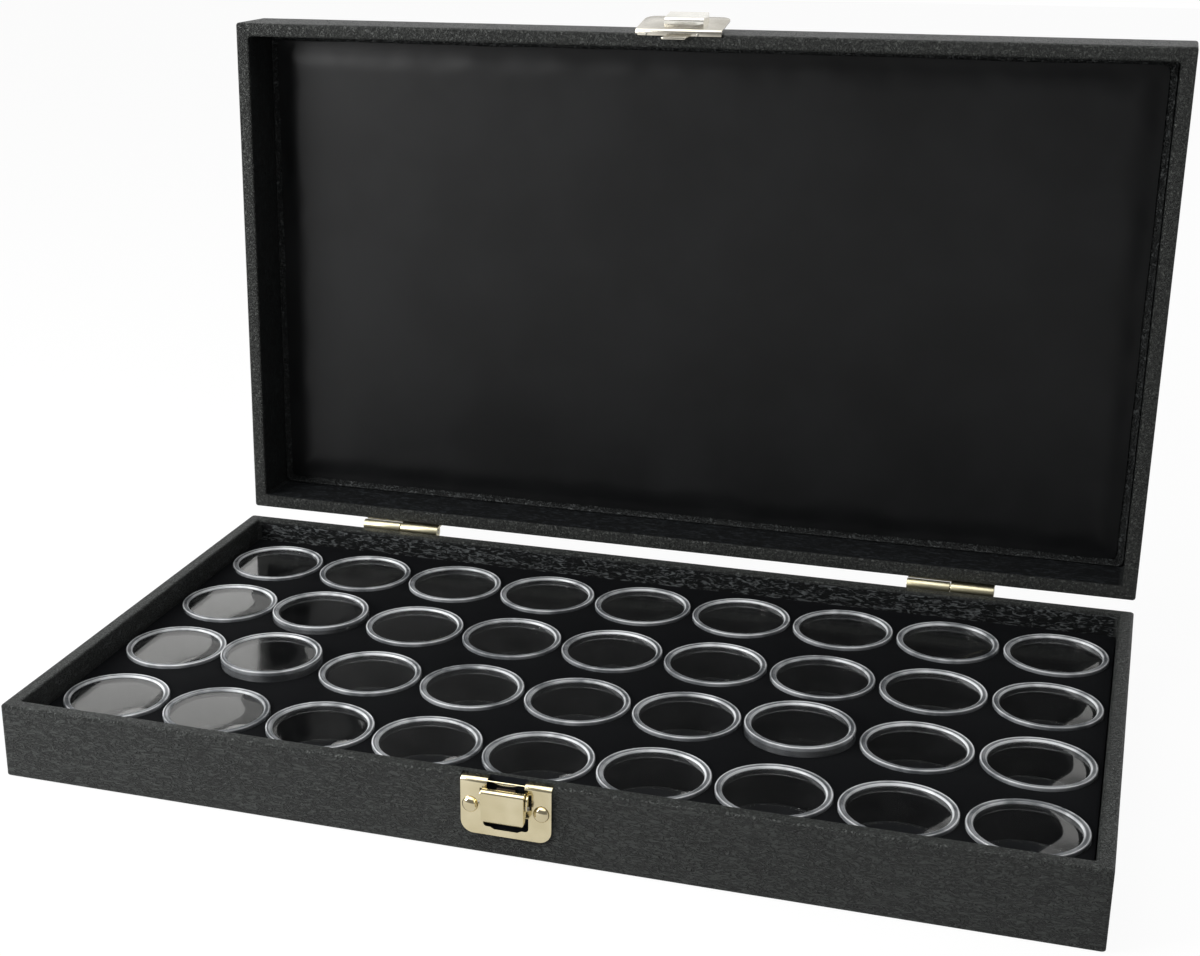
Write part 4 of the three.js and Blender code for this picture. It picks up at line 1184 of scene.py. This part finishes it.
# Hinges
hingeFrame = Matrix.Translation((0, caseSizes["halfDepth"] * millimetre, hingePoint.z)) @ toMetres
nailSpots = [(x, hingeShape["leafBack"], z) for x, z in hingeShape["nailSpots"]]
for name, side in (("left", -1), ("right", 1)):
    spot = Matrix.Translation((side * hingeShape["spacing"] / 2 * millimetre, 0, 0)) @ hingeFrame
    for body, place in (("base", spot), ("lid", openLid @ spot @ Matrix.Rotation(math.pi, 4, "Y"))):
        nails = makeNails(f"hinge_{name}_{body}_nails", nailSpots, (0, 1, 0), hingeShape["nailRadius"],
                          hingeShape["nailHeight"])
        placed(nails, place, "steel", body)
        placed(makeHingeLeaf(f"hinge_{name}_{body}_rolled"), place, "satin", body,
               (f"hinge_{name}_{body}_leaf",))
    pin = barAlongX(f"hinge_{name}_pin_bar", hingeShape["pinRadius"], hingeShape["half"],
                    (hingeShape["setback"], 0), 24, 0.2)
    placed(pin, spot, "steel", "base", (f"hinge_{name}_pin",))
print("hinges made")


# Stage: pale floor, white surroundings, soft lamps; its lengths are in metres
stageLook = {
    "floorSize": 6.0, "floorTone": (0.86, 0.86, 0.855, 1.0), "floorGlow": 0.9, "glowStrength": 1.05,
    "floorDrop": 0.0004, "floorRoughness": 0.9, "worldLight": 0.24, "overhead": 0.35,
    "overheadFrom": (0.08, 0.5), "zenith": 1.9, "zenithFrom": (0.6, 0.78), "frontShare": 0.35,
    "dimSide": 0.3, "aheadShare": 0.45, "dimFloor": (-0.36, 0.12), "dimAhead": (0.5, 1.5),
    "dimRoom": (-0.75, 0.2), "dimFront": (0.0, 0.4),
}
lamps = {  # place, aim, size, power
    "topSoftbox": ((-0.4, -0.2, 1.5), (0, 0.02, 0.05), (1.2, 1.0), 6),
    "leftSoftbox": ((-0.66, -0.47, 0.42), (-0.05, -0.05, 0.06), (0.45, 0.35), 6.2),
}


def lightPath(graph):
    return [graph.node("ShaderNodeLightPath", {}, {}, f"Is {ray} Ray")
            for ray in ("Camera", "Glossy", "Transmission")]


def makeFloor(look=stageLook):
    bm = bmesh.new()
    half = look["floorSize"] / 2
    corners = ((-half, -half, 0), (half, -half, 0), (half, half, 0), (-half, half, 0))
    bm.faces.new([bm.verts.new(spot) for spot in corners])
    made = meshObject("paleFloor", bm)
    material, graph, surface = newMaterial("paleFloor")
    graph.fill(surface, {
        "Base Color": look["floorTone"], "Roughness": look["floorRoughness"], "Specular IOR Level": 0.0})
    glow = graph.node("ShaderNodeEmission", {}, {"Color": (1, 1, 1, 1), "Strength": look["glowStrength"]})
    # reflections see a floor that is dimmer towards the right and further out
    camera, glossy, through = lightPath(graph)
    place = graph.objectPlace()
    across = graph.part(place, "X").smoothed(*look["dimFloor"])
    ahead = (0 - graph.part(place, "Y")).smoothed(*look["dimAhead"])
    mirrored = glossy * across.spread(1, look["dimSide"]) * (1 - ahead * look["aheadShare"])
    seen = camera.greatest(through).greatest(mirrored)
    graph.blended(seen * look["floorGlow"], surface, glow)
    made.data.materials.append(material)
    made.location.z = -look["floorDrop"]


def makeWorld(look=stageLook):
    # white to the camera; reflections see a pale room, dimmer overhead and towards the front right
    world = bpy.data.worlds.new("softStudio")
    world.use_nodes = True
    scene.world = world
    graph = Graph(world.node_tree)
    camera, glossy, through = lightPath(graph)
    direction = graph.node("ShaderNodeTexCoord", {}, {}, "Generated")
    raised = graph.part(direction, "Z") - graph.part(direction, "Y") * look["frontShare"]
    room = raised.smoothed(*look["overheadFrom"]).spread(1, look["overhead"])
    zenith = graph.part(direction, "Z").smoothed(*look["zenithFrom"]) * look["zenith"]
    forward = (0 - graph.part(direction, "Y")).smoothed(*look["dimFront"])
    across = graph.part(direction, "X").smoothed(*look["dimRoom"])
    dimmed = (forward * across).spread(1, look["dimSide"])
    around = camera.greatest(glossy.greatest(through) * (room * dimmed).greatest(zenith))
    level = around.greatest(look["worldLight"])
    graph.fill(graph.tree.nodes["Background"], {"Color": (1, 1, 1, 1), "Strength": level})


def areaLamp(name, place, aim, size, power):
    data = bpy.data.lights.new(name, "AREA")
    data.shape = "RECTANGLE"
    data.size, data.size_y = size
    data.energy = power
    made = bpy.data.objects.new(name, data)
    made.location = place
    made.rotation_euler = (Vector(aim) - Vector(place)).to_track_quat("-Z", "Y").to_euler()
    scene.collection.objects.link(made)


makeFloor()
makeWorld()
for name, lamp in lamps.items():
    areaLamp(name, *lamp)
scene.view_settings.view_transform = "Standard"
print("stage set")
